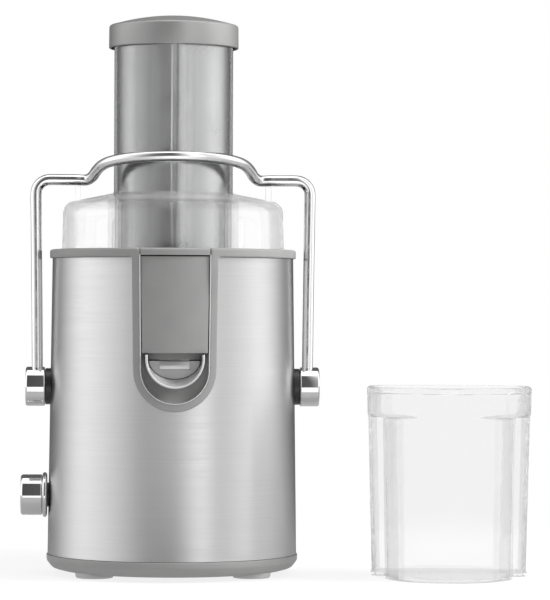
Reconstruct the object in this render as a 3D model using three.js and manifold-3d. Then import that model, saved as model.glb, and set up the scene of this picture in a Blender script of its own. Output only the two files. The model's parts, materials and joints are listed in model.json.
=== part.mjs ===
// Centrifugal juicer with a locking bail, a wide feed tube, a juice jug and a pulp container.
// Millimetres, +Z up, the front of the juicer faces -Y. The origin lies on the table, under the
// middle of the whole set: juicer, jug beside it and pulp container behind it.

import * as THREE from 'three';
import { mergeVertices } from 'three/addons/utils/BufferGeometryUtils.js';
import Module from 'manifold-3d';

const wasm = await Module();
wasm.setup();

// ---------------------------------------------------------------- driving dimensions

const GAP = 0.3;

// Facets around a full circle, for wide, middling and narrow pieces.
const WIDE = 40;
const MIDDLE = 24;
const NARROW = 12;

const SLEEVE = { rBottom: 90.6, rTop: 87.7, z0: 14.5, z1: 228.5, wall: 1.2 };
const HOUSING = { rIn: 83.6, rOut: 85.8, z0: 14.6, z1: 227.5, deck0: 114, deck1: 117 };
const COLLAR = { rIn: 81.5, rOut: 89.6, z0: 228.8, z1: 235.1 };
const CHANNEL = {
  outerTop: 31.0, outerArc: 29.7, innerTop: 25.1, innerArc: 24.2, top: 245, arcZ: 149.3, low: 115, proud: 0.8,
};
const CUP = { wall: 1.8, back: -66, clearRadius: 79.6, clearZ: 137.5 };
const PAN = { r: 91.6, z0: 3, floor: 7, z1: 14.2 };
const FOOT = { r: 14, height: 4.2, x: 56, y: 45 };
const SCREW = { ring: 77, headR: 3.4, shankR: 2, z0: 5, headTop: 8.4, tip: 28 };
const BOSS = { r: 7, top: 45 };

const BOWL = { rBottom: 77.5, rTop: 79, z0: 138, z1: 230, flangeR: 81, flangeTop: 233.4, wall: 2.1 };
const WINDOW = { half: 17, z0: 142, z1: 156.4 };
const COVER = { halfTop: 24.3, halfBottom: 23.2, z0: 161, z1: 229.3, back: 86.4, proud: 0.6 };
const SPOUT = { half: 20.9, mouth: -95, root: -79, arcZ: 157, top: 160, lipZ: 135.8, rootZ: 139.6, cut: 79.2 };

const LID = {
  rRim: 80.8, z0: 233.8, wall: 2, rShoulder: 79.9, zShoulder: 262, corner: 8.5, slope: 11.3,
  rNeck: 43.7, zNeck: 276.2,
};
const POST = { x: 69.5, width: 4, depth: 10, bottom: 269.6, top: 281.5, ramp: 3 };
const CHUTE = { half: 45, end: 150, z0: 235.4, z1: 262, wall: 2, start: 50, outlet: 97 };
const TUBE = { rIn: 41.5, rLow: 42.7, r: 43.3, z0: 172, zStep: 274, z1: 392, ribIn: 1 };
const PUSHER = {
  rTop: 41.1, rBottom: 40.4, wall: 2, z0: 169, floor: 171.5, flangeR: 44, flangeZ: 392.4, z1: 394.4,
  groove: 3.2, grooveDepth: 1.3,
};
const CAP = {
  r: 47.3, wall: 1.8, z0: 382, plate: 395.6, rimTop: 398.2, edge: 2, crown: 8,
  plugIn: 36, plugOut: 38.6, plugZ: 388,
};

const SHAFT = { r: 4, bore: 4.35, z0: 16, z1: 146 };
const STATOR = { half: 38, chamfer: 8, bore: 23, z0: 46, z1: 82 };
const BASKET = {
  rBase: 48.5, rSieve0: 47.4, rSieve1: 63.8, z0: 166, z1: 221.5, rimIn: 63, rimR: 69, rimTop: 226.5,
};

const PIVOT = {
  z: 135.5, pinR: 3.5, pinIn: 80, pinOut: 98.7, hubR: 14.2, hubIn: 92.9, hubOut: 106.8,
  rodHole: 4.3, rodEnd: 140.6, spacerR: 13.2, spacerOut: 92.6,
};
const ROD = { r: 4, xHub: 98.4, xTop: 99.9, shoulderZ: 286, bend: 10, archZ: 301.2, archY: -52 };
const KNOB = {
  z: 56.6, r: 14.7, tip: -110.1, flangeR: 16.3, flangeIn: -91.1, flangeOut: -94.3, neckR: 8.8, neckOut: -90.8,
  shaftR: 3, shaftOut: -104, shaftIn: -64,
};

const JUG = {
  x: 197.7, y: -47, turn: -6, height: 137, wall: 2, base: [53.6, 45.8], rim: [56.9, 48.8],
  lowEdge: 3, bead: 1.8, beadTall: 4,
};
const GRIP = { y: 14, top: 116.6, rBottom: 43.5, rTop: 45.5, bulgeY: -4 };
const LIP = { half: 20.5, depth: 28, reach: 8 };
const PULP = { half: 70, y0: 75, y1: 168, clear: 93.5, height: 233.5, wall: 2, corner: 18 };

const GLAND = { angle: 40, z: 28, r: 7 };

// Motor, shaft and basket drive. Heights are [bottom, top].
const END_FRAME = {
  r: 37, wall: 2, low: [19, 45.7], high: [82.3, 103.5], floor: 2.5, bore: 4.8, seatIn: 8.3, seatOut: 10.3,
};
const COIL = { rIn: 24, rOut: 33, low: [41.9, 45.7], high: [82.3, 87.5] };
const BEARING = { rIn: 4.3, rOut: 8, low: [21.5, 28], high: [95.9, 101.3] };
const ARMATURE = { r: 22, slots: 12, slotIn: 14, slotHalf: 1.2 };
const COMMUTATOR = { r: 12, z: [30, 42] };
const FAN = { r: 33.6, hub: 8.2, plate: [88.3, 89.9], top: 94.8, blades: 9, bladeIn: 12, bladeHalf: 0.7 };
const BRUSH = {
  x: [12.6, 24], half: 3, z: [32.8, 39.2], holderX: [15, 33], holderHalf: 6, holderZ: [30.5, 41.5], room: 0.4,
};
const DAMPER = { ring: 50, r: 6, z: [103.8, 113.7], earHalf: 7, earEnd: 57, earZ: 100.6 };
const SEAL = { rIn: 4.45, neck: 10.1, rim: 13, z: [111, 117.3, 119] };
const COUPLING = { r: 13.4, z: [121, 152], sides: 6 };
const SWITCH = { x: [-79, -58], half: 12, z: [44.6, 68.6] };
const BOARD = { x: [55, 56.6], half: 25, z: [16, 56] };

const sleeveRadius = (z) =>
  SLEEVE.rBottom + ((SLEEVE.rTop - SLEEVE.rBottom) * (z - SLEEVE.z0)) / (SLEEVE.z1 - SLEEVE.z0);

// ---------------------------------------------------------------- materials

const finish = (color, roughness, metalness, extra = {}) =>
  new THREE.MeshStandardMaterial({ color, roughness, metalness, ...extra });

const steel = finish(0xd2d2d2, 0.35, 1);
const chrome = finish(0xe6e6e6, 0.08, 1);
const greyPlastic = finish(0x969694, 0.5, 0);
const darkPlastic = finish(0x2a2a2c, 0.45, 0);
const silverPlastic = finish(0xb4b4b2, 0.3, 0.2);
const clearPlastic = finish(0xf4f6f6, 0.06, 0, { transparent: true, opacity: 0.3 });
const footRubber = finish(0x9a9a9a, 0.8, 0);
const motorSteel = finish(0x7d8084, 0.5, 1);
const copper = finish(0xb5703c, 0.35, 1);
const carbon = finish(0x1c1c1d, 0.7, 0);
const boardGreen = finish(0x2f6b45, 0.6, 0);

// ---------------------------------------------------------------- solid helpers

// A closed geometry, as a solid that can be joined and cut.
function solid(geometry) {
  const bare = geometry.clone();
  bare.deleteAttribute('normal');
  bare.deleteAttribute('uv');
  const merged = mergeVertices(bare, 1e-4);
  const at = merged.attributes.position;
  const index = merged.index.array;
  const corners = [];
  for (let i = 0; i < index.length; i += 3) {
    const [a, b, c] = [index[i], index[i + 1], index[i + 2]];
    if (a !== b && b !== c && c !== a) {
      corners.push([a, b, c]);
    }
  }
  const point = (i) => new THREE.Vector3().fromBufferAttribute(at, i);
  const volume = corners.reduce((sum, [a, b, c]) => sum + point(a).dot(point(b).cross(point(c))), 0);
  const outward = volume < 0 ? corners.map(([a, b, c]) => [a, c, b]) : corners;
  const mesh = new wasm.Mesh({
    numProp: 3,
    vertProperties: new Float32Array(at.array),
    triVerts: new Uint32Array(outward.flat()),
  });
  return new wasm.Manifold(mesh);
}

function geometryOf(body) {
  const { vertProperties, triVerts } = body.getMesh();
  const geometry = new THREE.BufferGeometry();
  geometry.setAttribute('position', new THREE.BufferAttribute(new Float32Array(vertProperties), 3));
  geometry.setIndex(new THREE.BufferAttribute(new Uint32Array(triVerts), 1));
  geometry.computeVertexNormals();
  return geometry;
}

function piece(name, body, material, position = [0, 0, 0]) {
  const mesh = new THREE.Mesh(geometryOf(body), material);
  mesh.name = name;
  mesh.position.set(...position);
  return mesh;
}

const join = (...bodies) => bodies.reduce((sum, body) => sum.add(body));
const cut = (body, ...tools) => tools.reduce((rest, tool) => rest.subtract(tool), body);

// A profile of [radius, height] points turned about Z. The profile closes on itself.
function turned(profile, segments = WIDE) {
  const points = profile.map(([r, z]) => new THREE.Vector2(r, z));
  points.push(points[0].clone());
  const geometry = new THREE.LatheGeometry(points, segments);
  geometry.rotateX(Math.PI / 2);
  return solid(geometry);
}

// Points of a round corner about (cr, cz), from one angle to another, in degrees.
function arc(cr, cz, radius, from, to, steps = 4) {
  const points = [];
  for (let i = 0; i <= steps; i++) {
    const angle = THREE.MathUtils.degToRad(from + ((to - from) * i) / steps);
    points.push([cr + radius * Math.cos(angle), cz + radius * Math.sin(angle)]);
  }
  return points;
}

const tube = (rIn, rOut, z0, z1, segments = WIDE) =>
  turned([[rIn, z0], [rOut, z0], [rOut, z1], [rIn, z1]], segments);

const disc = (r, z0, z1, segments = WIDE) => tube(0, r, z0, z1, segments);

// A conical wall between two heights, given its outer radius at each.
const cone = (rIn0, rOut0, z0, rIn1, rOut1, z1, segments = WIDE) =>
  turned([[rIn0, z0], [rOut0, z0], [rOut1, z1], [rIn1, z1]], segments);

function block(x0, x1, y0, y1, z0, z1) {
  const geometry = new THREE.BoxGeometry(x1 - x0, y1 - y0, z1 - z0);
  geometry.translate((x0 + x1) / 2, (y0 + y1) / 2, (z0 + z1) / 2);
  return solid(geometry);
}

// A round bar along X, from one x to another.
function barX(r, x0, x1, y = 0, z = 0, segments = NARROW) {
  const geometry = new THREE.CylinderGeometry(r, r, Math.abs(x1 - x0), segments);
  geometry.rotateZ(Math.PI / 2);
  geometry.translate((x0 + x1) / 2, y, z);
  return solid(geometry);
}

// A round bar along Z.
function barZ(r, z0, z1, x = 0, y = 0, segments = NARROW) {
  const geometry = new THREE.CylinderGeometry(r, r, z1 - z0, segments);
  geometry.rotateX(Math.PI / 2);
  geometry.translate(x, y, (z0 + z1) / 2);
  return solid(geometry);
}

// An outline drawn in plan, raised between two heights.
function raised(shape, z0, z1, curveSegments = 12) {
  const geometry = new THREE.ExtrudeGeometry(shape, { depth: z1 - z0, bevelEnabled: false, curveSegments });
  geometry.translate(0, 0, z0);
  return solid(geometry);
}

// An outline drawn in front view, in x and z, that runs from y0 at the front to y1 at the back.
function frontal(shape, y0, y1, curveSegments = 12) {
  const geometry = new THREE.ExtrudeGeometry(shape, { depth: y1 - y0, bevelEnabled: false, curveSegments });
  geometry.rotateX(Math.PI / 2);
  geometry.translate(0, y1, 0);
  return solid(geometry);
}

// Closed outlines of equal length, stacked along Z as [[height, [[x, y], ...]], ...].
function stacked(levels) {
  const positions = [];
  const corner = ([height, outline], i) => positions.push(...outline[i], height);
  const count = levels[0][1].length;
  for (let level = 0; level + 1 < levels.length; level++) {
    const [low, high] = [levels[level], levels[level + 1]];
    for (let i = 0; i < count; i++) {
      const j = (i + 1) % count;
      corner(low, i);
      corner(low, j);
      corner(high, j);
      corner(low, i);
      corner(high, j);
      corner(high, i);
    }
  }
  const capFaces = ([, outline]) =>
    THREE.ShapeUtils.triangulateShape(outline.map(([x, y]) => new THREE.Vector2(x, y)), []);
  const [bottom, top] = [levels[0], levels[levels.length - 1]];
  capFaces(bottom).forEach(([a, b, c]) => [c, b, a].forEach((i) => corner(bottom, i)));
  capFaces(top).forEach(([a, b, c]) => [a, b, c].forEach((i) => corner(top, i)));
  const geometry = new THREE.BufferGeometry();
  geometry.setAttribute('position', new THREE.Float32BufferAttribute(positions, 3));
  return geometry;
}

function turnAboutZ(body, degrees) {
  const geometry = geometryOf(body);
  geometry.rotateZ(THREE.MathUtils.degToRad(degrees));
  return solid(geometry);
}

const mirrorX = (body) => {
  const geometry = geometryOf(body);
  geometry.scale(-1, 1, 1);
  return solid(geometry);
};

// The U of the front channel, in x and z: straight sides that lean in to a half circle.
function channelShape(halfTop, arcRadius) {
  const shape = new THREE.Shape();
  shape.moveTo(-halfTop, CHANNEL.top);
  shape.lineTo(-arcRadius, CHANNEL.arcZ);
  shape.absarc(0, CHANNEL.arcZ, arcRadius, Math.PI, 2 * Math.PI, false);
  shape.lineTo(halfTop, CHANNEL.top);
  shape.closePath();
  return shape;
}

const channelOuter = (grow, y0, y1) =>
  frontal(channelShape(CHANNEL.outerTop + grow, CHANNEL.outerArc + grow), y0, y1);
const channelInner = (grow, y0, y1) =>
  frontal(channelShape(CHANNEL.innerTop + grow, CHANNEL.innerArc + grow), y0, y1);

const screwAngles = [45, 135, 225, 315];
const ringPoint = (radius, degrees) => {
  const angle = THREE.MathUtils.degToRad(degrees);
  return [radius * Math.cos(angle), radius * Math.sin(angle)];
};

// ---------------------------------------------------------------- casing

function steelSleeve() {
  const shell = cone(
    SLEEVE.rBottom - SLEEVE.wall, SLEEVE.rBottom, SLEEVE.z0,
    SLEEVE.rTop - SLEEVE.wall, SLEEVE.rTop, SLEEVE.z1, WIDE,
  );
  return cut(
    shell,
    channelOuter(GAP, -110, -40),
    barX(PIVOT.pinR + 0.7, -100, 100, 0, PIVOT.z),
    barX(KNOB.neckR + GAP, -100, -60, 0, KNOB.z),
    turnAboutZ(barX(GLAND.r + GAP, 60, 100, 0, GLAND.z), GLAND.angle),
  );
}

function innerHousing() {
  const wall = tube(HOUSING.rIn, HOUSING.rOut, HOUSING.z0, HOUSING.z1);
  const deck = tube(10.5, HOUSING.rIn + 1, HOUSING.deck0, HOUSING.deck1);
  const bosses = screwAngles.map((angle) => {
    const [x, y] = ringPoint(SCREW.ring, angle);
    return barZ(BOSS.r, HOUSING.z0, BOSS.top, x, y, 10);
  });
  const pilotHoles = screwAngles.map((angle) => {
    const [x, y] = ringPoint(SCREW.ring, angle);
    return barZ(SCREW.shankR + GAP, HOUSING.z0 - 1, SCREW.tip + 1, x, y, 8);
  });
  return cut(
    join(wall, deck, ...bosses),
    channelOuter(GAP, -110, -40),
    barX(PIVOT.pinR + 0.7, -100, 100, 0, PIVOT.z),
    barX(3.6, -100, -60, 0, KNOB.z),
    turnAboutZ(barX(4.3, 60, 100, 0, GLAND.z), GLAND.angle),
    ...pilotHoles,
  );
}

// Top ring, U-shaped frame and the pocket behind the spout, as one moulding.
function topCollar() {
  const edge = 2.2;
  const ring = turned([
    [COLLAR.rIn, COLLAR.z0],
    [COLLAR.rOut, COLLAR.z0],
    ...arc(COLLAR.rOut - edge, COLLAR.z1 - edge, edge, 0, 90, 3),
    [COLLAR.rIn, COLLAR.z1],
  ], WIDE);
  const skirt = tube(COLLAR.rIn, HOUSING.rIn - 0.4, 214, COLLAR.z0 + 1);
  const low = CHANNEL.low;
  const high = COLLAR.z0 + 1;
  const band = cone(
    82, sleeveRadius(low) + CHANNEL.proud, low,
    82, sleeveRadius(high) + CHANNEL.proud, high, WIDE,
  ).intersect(channelOuter(0, -110, -40));
  const pocket = channelInner(CUP.wall, -88, CUP.back);
  const pocketRoom = channelInner(0, -110, CUP.back - CUP.wall);
  const bowlRoom = join(disc(CUP.clearRadius, CUP.clearZ, 250), disc(COLLAR.rIn, BOWL.z1 - 1, 250));
  const outsideOfRing = cut(disc(120, 100, 250), disc(COLLAR.rOut, 99, 251, WIDE));
  const frame = cut(join(ring, skirt, band, cut(pocket, bowlRoom, outsideOfRing)), pocketRoom);
  const shelf = block(-22, 22, -CUP.clearRadius, CUP.back - 1, CUP.clearZ - 1.6, CUP.clearZ)
    .intersect(channelInner(0.5, -110, -60));
  const front = cut(frame, block(-CHANNEL.innerTop, CHANNEL.innerTop, -110, -60, COLLAR.z0 - 20, 240));
  return join(cut(front, block(-95, 95, -95, 95, COLLAR.z1, 260)), shelf);
}

function basePan() {
  const pan = turned([
    [0, PAN.z0], [82.5, PAN.z0], [86.5, 4.2], [90, 6.9], [PAN.r, 11.3], [PAN.r, PAN.z1],
    [83.2, PAN.z1], [83.2, PAN.floor], [0, PAN.floor],
  ], WIDE);
  const footRooms = [-FOOT.x, FOOT.x].flatMap((x) =>
    [-FOOT.y, FOOT.y].map((y) => barZ(FOOT.r + GAP, PAN.z0 - 1, FOOT.height + GAP, x, y, NARROW + 4)));
  const screwHoles = screwAngles.flatMap((angle) => {
    const [x, y] = ringPoint(SCREW.ring, angle);
    return [
      barZ(SCREW.headR + 0.4, PAN.z0 - 1, SCREW.headTop + GAP, x, y, 10),
      barZ(SCREW.shankR + GAP, PAN.z0 - 1, SCREW.headTop + 8, x, y, 8),
    ];
  });
  const pads = screwAngles.map((angle) => {
    const [x, y] = ringPoint(SCREW.ring, angle);
    return barZ(5.6, PAN.floor - 1, HOUSING.z0 - GAP, x, y, 10);
  });
  const vents = [];
  for (let i = 0; i < 8; i++) {
    const x = (i - 3.5) * 7;
    vents.push(block(x - 1.6, x + 1.6, -22, 22, PAN.z0 - 1, PAN.floor + 1));
  }
  return cut(join(pan, ...pads), ...screwHoles, ...vents, ...footRooms);
}

const foot = () =>
  turned([[0, 0], [FOOT.r - 1.4, 0], [FOOT.r - 0.5, 0.6], [FOOT.r, FOOT.height], [0, FOOT.height]], NARROW + 4);

const baseScrew = () =>
  turned([
    [0, SCREW.z0], [SCREW.headR, SCREW.z0], [SCREW.headR, SCREW.headTop],
    [SCREW.shankR, SCREW.headTop], [SCREW.shankR, SCREW.tip], [0, SCREW.tip],
  ], 10);

// ---------------------------------------------------------------- motor

function endFrameLower() {
  const { r, wall, low: [bottom, top], floor, bore, seatIn, seatOut } = END_FRAME;
  const seatTop = BEARING.low[1] + GAP;
  const seatFloor = BEARING.low[0] - GAP;
  return turned([
    [bore, bottom], [r, bottom], [r, top], [r - wall, top], [r - wall, bottom + floor],
    [seatOut, bottom + floor], [seatOut, seatTop], [seatIn, seatTop], [seatIn, seatFloor], [bore, seatFloor],
  ], MIDDLE);
}

function endFrameUpper() {
  const { r, wall, high: [bottom, top], floor, bore, seatIn, seatOut } = END_FRAME;
  const seatTop = BEARING.high[1] + GAP;
  const cup = turned([
    [r, bottom], [r, top], [bore, top], [bore, seatTop], [seatIn, seatTop],
    [seatIn, BEARING.high[0]], [seatOut, BEARING.high[0]], [seatOut, top - floor], [r - wall, top - floor],
    [r - wall, bottom],
  ], MIDDLE);
  const { earHalf, earEnd, earZ } = DAMPER;
  const ear = block(r - 1, earEnd, -earHalf, earHalf, earZ, top);
  const ears = damperAngles.map((angle) => turnAboutZ(ear, angle));
  return join(cup, ...ears);
}

function statorCore() {
  const h = STATOR.half;
  const c = STATOR.chamfer;
  const shape = new THREE.Shape([
    [-h + c, -h], [h - c, -h], [h, -h + c], [h, h - c], [h - c, h], [-h + c, h], [-h, h - c], [-h, -h + c],
  ].map(([x, y]) => new THREE.Vector2(x, y)));
  const hole = barZ(STATOR.bore, STATOR.z0 - 1, STATOR.z1 + 1, 0, 0, MIDDLE);
  return cut(raised(shape, STATOR.z0, STATOR.z1), hole);
}

// A round lamination pack with open slots around it.
function armatureCore() {
  const { r, slots, slotIn, slotHalf } = ARMATURE;
  let body = tube(SHAFT.bore, r, STATOR.z0 + 0.5, STATOR.z1 - 0.5, MIDDLE);
  for (let i = 0; i < slots; i++) {
    const slot = block(slotIn, r + 3, -slotHalf, slotHalf, STATOR.z0, STATOR.z1);
    body = body.subtract(turnAboutZ(slot, (360 * i) / slots));
  }
  return body;
}

function coolingFan() {
  const [low, high] = FAN.plate;
  const plate = tube(SHAFT.bore, FAN.r, low, high, MIDDLE);
  const hub = tube(SHAFT.bore, FAN.hub, low, FAN.top, NARROW);
  const blades = [];
  for (let i = 0; i < FAN.blades; i++) {
    const blade = block(FAN.bladeIn, FAN.r - 0.6, -FAN.bladeHalf, FAN.bladeHalf, high - 0.9, FAN.top);
    blades.push(turnAboutZ(blade, (360 * i) / FAN.blades));
  }
  return join(plate, hub, ...blades);
}

function brushHolder() {
  const { half, z: [low, high], holderX: [x0, x1], holderHalf, holderZ: [z0, z1], room } = BRUSH;
  const passage = block(x0 - 1, x1 + 1, -half - room, half + room, low - room, high + room);
  return cut(block(x0, x1, -holderHalf, holderHalf, z0, z1), passage);
}

const damperAngles = [90, 210, 330];

function shaftSeal() {
  const { rIn, neck, rim, z: [low, shoulder, top] } = SEAL;
  return turned([
    [rIn, low], [neck, low], [neck, shoulder], [rim, shoulder], [rim, top], [rIn, top],
  ], NARROW + 4);
}

// ---------------------------------------------------------------- bowl, cover and spout

function juiceBowl() {
  const wall = BOWL.wall;
  const bowl = turned([
    [21.5, BOWL.z0], [BOWL.rBottom, BOWL.z0], [BOWL.rTop, BOWL.z1], [BOWL.flangeR, BOWL.z1],
    [BOWL.flangeR, BOWL.flangeTop], [BOWL.rTop - wall, BOWL.flangeTop],
    [BOWL.rBottom - wall, 142.5], [73, 140.2], [24, 140.2], [24, 156], [21.5, 156],
  ], WIDE);
  const tabRing = turned([
    [BOWL.flangeR - 1, BOWL.z1 + 0.1], [COLLAR.rOut - 0.2, BOWL.z1 + 0.1], [COLLAR.rOut - 0.2, COLLAR.z1],
    [LID.rRim + 0.4, COLLAR.z1], [LID.rRim + 0.4, BOWL.flangeTop], [BOWL.flangeR - 1, BOWL.flangeTop],
  ]);
  const tab = tabRing.intersect(block(-24.8, 24.8, -110, -60, 220, 240));
  const window = block(-WINDOW.half, WINDOW.half, -110, -60, WINDOW.z0, WINDOW.z1);
  return cut(join(bowl, tab), window);
}

function spoutCover() {
  const shell = cone(
    COVER.back, sleeveRadius(COVER.z0) + COVER.proud, COVER.z0,
    COVER.back, sleeveRadius(COVER.z1) + COVER.proud, COVER.z1, WIDE,
  );
  const shape = new THREE.Shape([
    [-COVER.halfBottom, COVER.z0], [COVER.halfBottom, COVER.z0],
    [COVER.halfTop, COVER.z1], [-COVER.halfTop, COVER.z1],
  ].map(([x, z]) => new THREE.Vector2(x, z)));
  const plate = shell.intersect(frontal(shape, -110, -60));
  const rib = block(17.9, 19.7, -86, -80, COVER.z0 + 4, COVER.z1 - 4);
  return join(plate, rib, mirrorX(rib));
}

// The U of the trough at one place along it, as [x, z] points.
function troughSection(half, floor, top) {
  const rise = SPOUT.arcZ - floor;
  const points = [[half, top], [-half, top]];
  const steps = 16;
  for (let i = 0; i <= steps; i++) {
    const angle = Math.PI + (Math.PI * i) / steps;
    points.push([half * Math.cos(angle), SPOUT.arcZ + rise * Math.sin(angle)]);
  }
  return points;
}

function juiceSpout() {
  const trough = (root, mouth) => {
    const geometry = stacked([
      [-root.y, troughSection(root.half, root.floor, root.top)],
      [-mouth.y, troughSection(mouth.half, mouth.floor, mouth.top)],
    ]);
    geometry.rotateX(Math.PI / 2);
    return solid(geometry);
  };
  const outer = trough(
    { y: SPOUT.root + 4, half: SPOUT.half, floor: SPOUT.rootZ, top: SPOUT.top },
    { y: SPOUT.mouth, half: SPOUT.half, floor: SPOUT.lipZ, top: SPOUT.top },
  );
  const inner = trough(
    { y: SPOUT.root + 5, half: SPOUT.half - 2, floor: SPOUT.rootZ + 2, top: SPOUT.top + 2 },
    { y: SPOUT.mouth - 1, half: SPOUT.half - 1, floor: SPOUT.lipZ + 1.2, top: SPOUT.top + 2 },
  );
  return cut(outer, inner, disc(SPOUT.cut, 120, 180, WIDE));
}

// ---------------------------------------------------------------- lid, feed tube and pusher

function clearLid() {
  const w = LID.wall;
  const c = LID.corner;
  const crown = (inset) => [
    ...arc(LID.rShoulder - c, LID.zShoulder, c - inset, 0, 90 - LID.slope, 3),
    [LID.rNeck, LID.zNeck - inset / Math.cos(THREE.MathUtils.degToRad(LID.slope))],
  ];
  const dome = turned([
    [LID.rRim - w, LID.z0],
    [LID.rRim, LID.z0],
    ...crown(0),
    ...crown(w).reverse(),
  ], WIDE);
  const chute = block(-CHUTE.half, CHUTE.half, 30, CHUTE.end, CHUTE.z0, CHUTE.z1);
  const room = CHUTE.half - CHUTE.wall;
  const domeRoom = cone(0, LID.rRim - w, 220, 0, LID.rShoulder - w, LID.zShoulder);
  const roomEnd = CHUTE.end - CHUTE.wall;
  const chuteRoom = block(-room, room, CHUTE.start, roomEnd, CHUTE.z0 + CHUTE.wall, CHUTE.z1 - CHUTE.wall);
  const outlet = block(-room, room, CHUTE.outlet, roomEnd, CHUTE.z0 - 5, CHUTE.z0 + 5);
  const post = postSolid();
  return join(
    cut(join(dome, cut(chute, domeRoom, disc(LID.rShoulder - c, 220, CHUTE.z1 + 1))), chuteRoom, outlet),
    post,
    mirrorX(post),
  );
}

// A clear post under each shoulder of the bail, with its front edge sloped for the rod.
function postSolid() {
  const half = POST.depth / 2;
  const shape = new THREE.Shape([
    [-half, POST.bottom], [half, POST.bottom], [half, POST.top], [0, POST.top], [-half, POST.top - POST.ramp],
  ].map(([y, z]) => new THREE.Vector2(y, z)));
  const geometry = new THREE.ExtrudeGeometry(shape, { depth: POST.width, bevelEnabled: false });
  geometry.rotateX(Math.PI / 2);
  geometry.rotateZ(Math.PI / 2);
  geometry.translate(POST.x - POST.width / 2, 0, 0);
  return solid(geometry);
}

function feedTube() {
  const wall = turned([
    [TUBE.rIn, TUBE.z0], [TUBE.rLow, TUBE.z0], [TUBE.rLow, TUBE.zStep], [TUBE.r, TUBE.zStep],
    [TUBE.r, TUBE.z1], [TUBE.rIn, TUBE.z1],
  ]);
  const rib = block(-1, 1, -(TUBE.rIn + 0.8), -(TUBE.rIn - TUBE.ribIn), TUBE.z0 + 5, TUBE.z1 - 1);
  return join(wall, rib);
}

function pusherBody() {
  const body = turned([
    [0, PUSHER.z0], [PUSHER.rBottom, PUSHER.z0],
    [PUSHER.rTop, PUSHER.flangeZ], [PUSHER.flangeR, PUSHER.flangeZ],
    [PUSHER.flangeR, PUSHER.z1], [PUSHER.rTop - PUSHER.wall, PUSHER.z1],
    [PUSHER.rBottom - PUSHER.wall, PUSHER.floor], [0, PUSHER.floor],
  ], WIDE);
  const half = PUSHER.groove / 2;
  const grooveFloor = -(PUSHER.rTop - PUSHER.grooveDepth);
  return cut(body, block(-half, half, -50, grooveFloor, PUSHER.z0 - 1, PUSHER.flangeZ - 0.1));
}

// A shallow domed cap with a skirt outside the tube and a ring that plugs the hollow pusher.
function pusherCap() {
  const { r, wall, z0, plate, rimTop, edge, crown, plugIn, plugOut, plugZ } = CAP;
  const rim = r - edge;
  const dome = [0.75, 0.5, 0.25, 0].map((share) => [rim * share, rimTop + crown * (1 - share * share)]);
  return turned([
    [0, plate], [plugIn, plate], [plugIn, plugZ], [plugOut, plugZ], [plugOut, plate], [r - wall, plate],
    [r - wall, z0], [r, z0], ...arc(rim, rimTop - edge, edge, 0, 90, 3), ...dome,
  ], WIDE);
}

// ---------------------------------------------------------------- rotor

function driveCoupling() {
  const [low, high] = COUPLING.z;
  const body = barZ(COUPLING.r, low, high, 0, 0, COUPLING.sides);
  return cut(body, barZ(SHAFT.bore, low - 1, SHAFT.z1 + GAP, 0, 0, NARROW));
}

const basketBase = () =>
  turned([
    [0, 155.5], [13.9, 155.5], [13.9, 130], [17.5, 130], [17.5, 160], [BASKET.rBase, 160],
    [BASKET.rBase, 165.5], [46.9, 165.5], [46.9, 163.5], [0, 163.5],
  ], MIDDLE);

// A flat disc with rings of small raised teeth.
function graterDisc() {
  const teeth = [];
  for (const [ring, count] of [[15, 6], [26, 9], [38, 12]]) {
    for (let i = 0; i < count; i++) {
      const tooth = block(ring - 1.3, ring + 1.3, -0.5, 0.5, 165, 166.3);
      teeth.push(turnAboutZ(tooth, (360 * i) / count));
    }
  }
  return join(disc(45.5, 163.8, 165.4, MIDDLE), ...teeth);
}

const filterSieve = () =>
  cone(BASKET.rSieve0, BASKET.rSieve0 + 1, BASKET.z0, BASKET.rSieve1, BASKET.rSieve1 + 1, BASKET.z1);

// ---------------------------------------------------------------- bail

// The rod's centre line: up one arm, over its shoulder, round the front of the feed tube and down.
function bailPath() {
  const half = [
    [ROD.xHub, 0, PIVOT.rodEnd],
    [(ROD.xHub + ROD.xTop) / 2, 0, (PIVOT.rodEnd + ROD.shoulderZ - ROD.bend) / 2],
    ...arc(ROD.xTop - ROD.bend, ROD.shoulderZ - ROD.bend, ROD.bend, 0, 90, 4).map(([x, z]) => [x, 0, z]),
    [76, 0, ROD.shoulderZ],
    [63, -0.4, ROD.shoulderZ],
    [59, -4.5, 288.2],
    [56, -13, 292],
    [51.8, -24, 295.6],
    [45.4, -33.5, 298],
    [34, -43, 299.8],
    [18, -49.6, 300.8],
  ];
  const points = half.map((p) => new THREE.Vector3(...p));
  const other = half.map(([x, y, z]) => new THREE.Vector3(-x, y, z)).reverse();
  return new THREE.CatmullRomCurve3([...points, new THREE.Vector3(0, ROD.archY, ROD.archZ), ...other]);
}

function bailRod() {
  const section = new THREE.Shape();
  const sides = 8;
  for (let i = 0; i < sides; i++) {
    const angle = (2 * Math.PI * i) / sides;
    const at = [ROD.r * Math.cos(angle), ROD.r * Math.sin(angle)];
    if (i === 0) {
      section.moveTo(...at);
    } else {
      section.lineTo(...at);
    }
  }
  section.closePath();
  const path = bailPath();
  return solid(new THREE.ExtrudeGeometry(section, { extrudePath: path, steps: 60, bevelEnabled: false }));
}

function bailHub() {
  const body = barX(PIVOT.hubR, PIVOT.hubIn, PIVOT.hubOut, 0, PIVOT.z, MIDDLE);
  return cut(
    body,
    barZ(PIVOT.rodHole, PIVOT.rodEnd - GAP, 160, ROD.xHub, 0, NARROW),
    barX(PIVOT.pinR + GAP, PIVOT.pinIn, PIVOT.pinOut + GAP, 0, PIVOT.z, NARROW),
  );
}

const pivotPin = () => barX(PIVOT.pinR, PIVOT.pinIn, PIVOT.pinOut, 0, PIVOT.z, NARROW);

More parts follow.
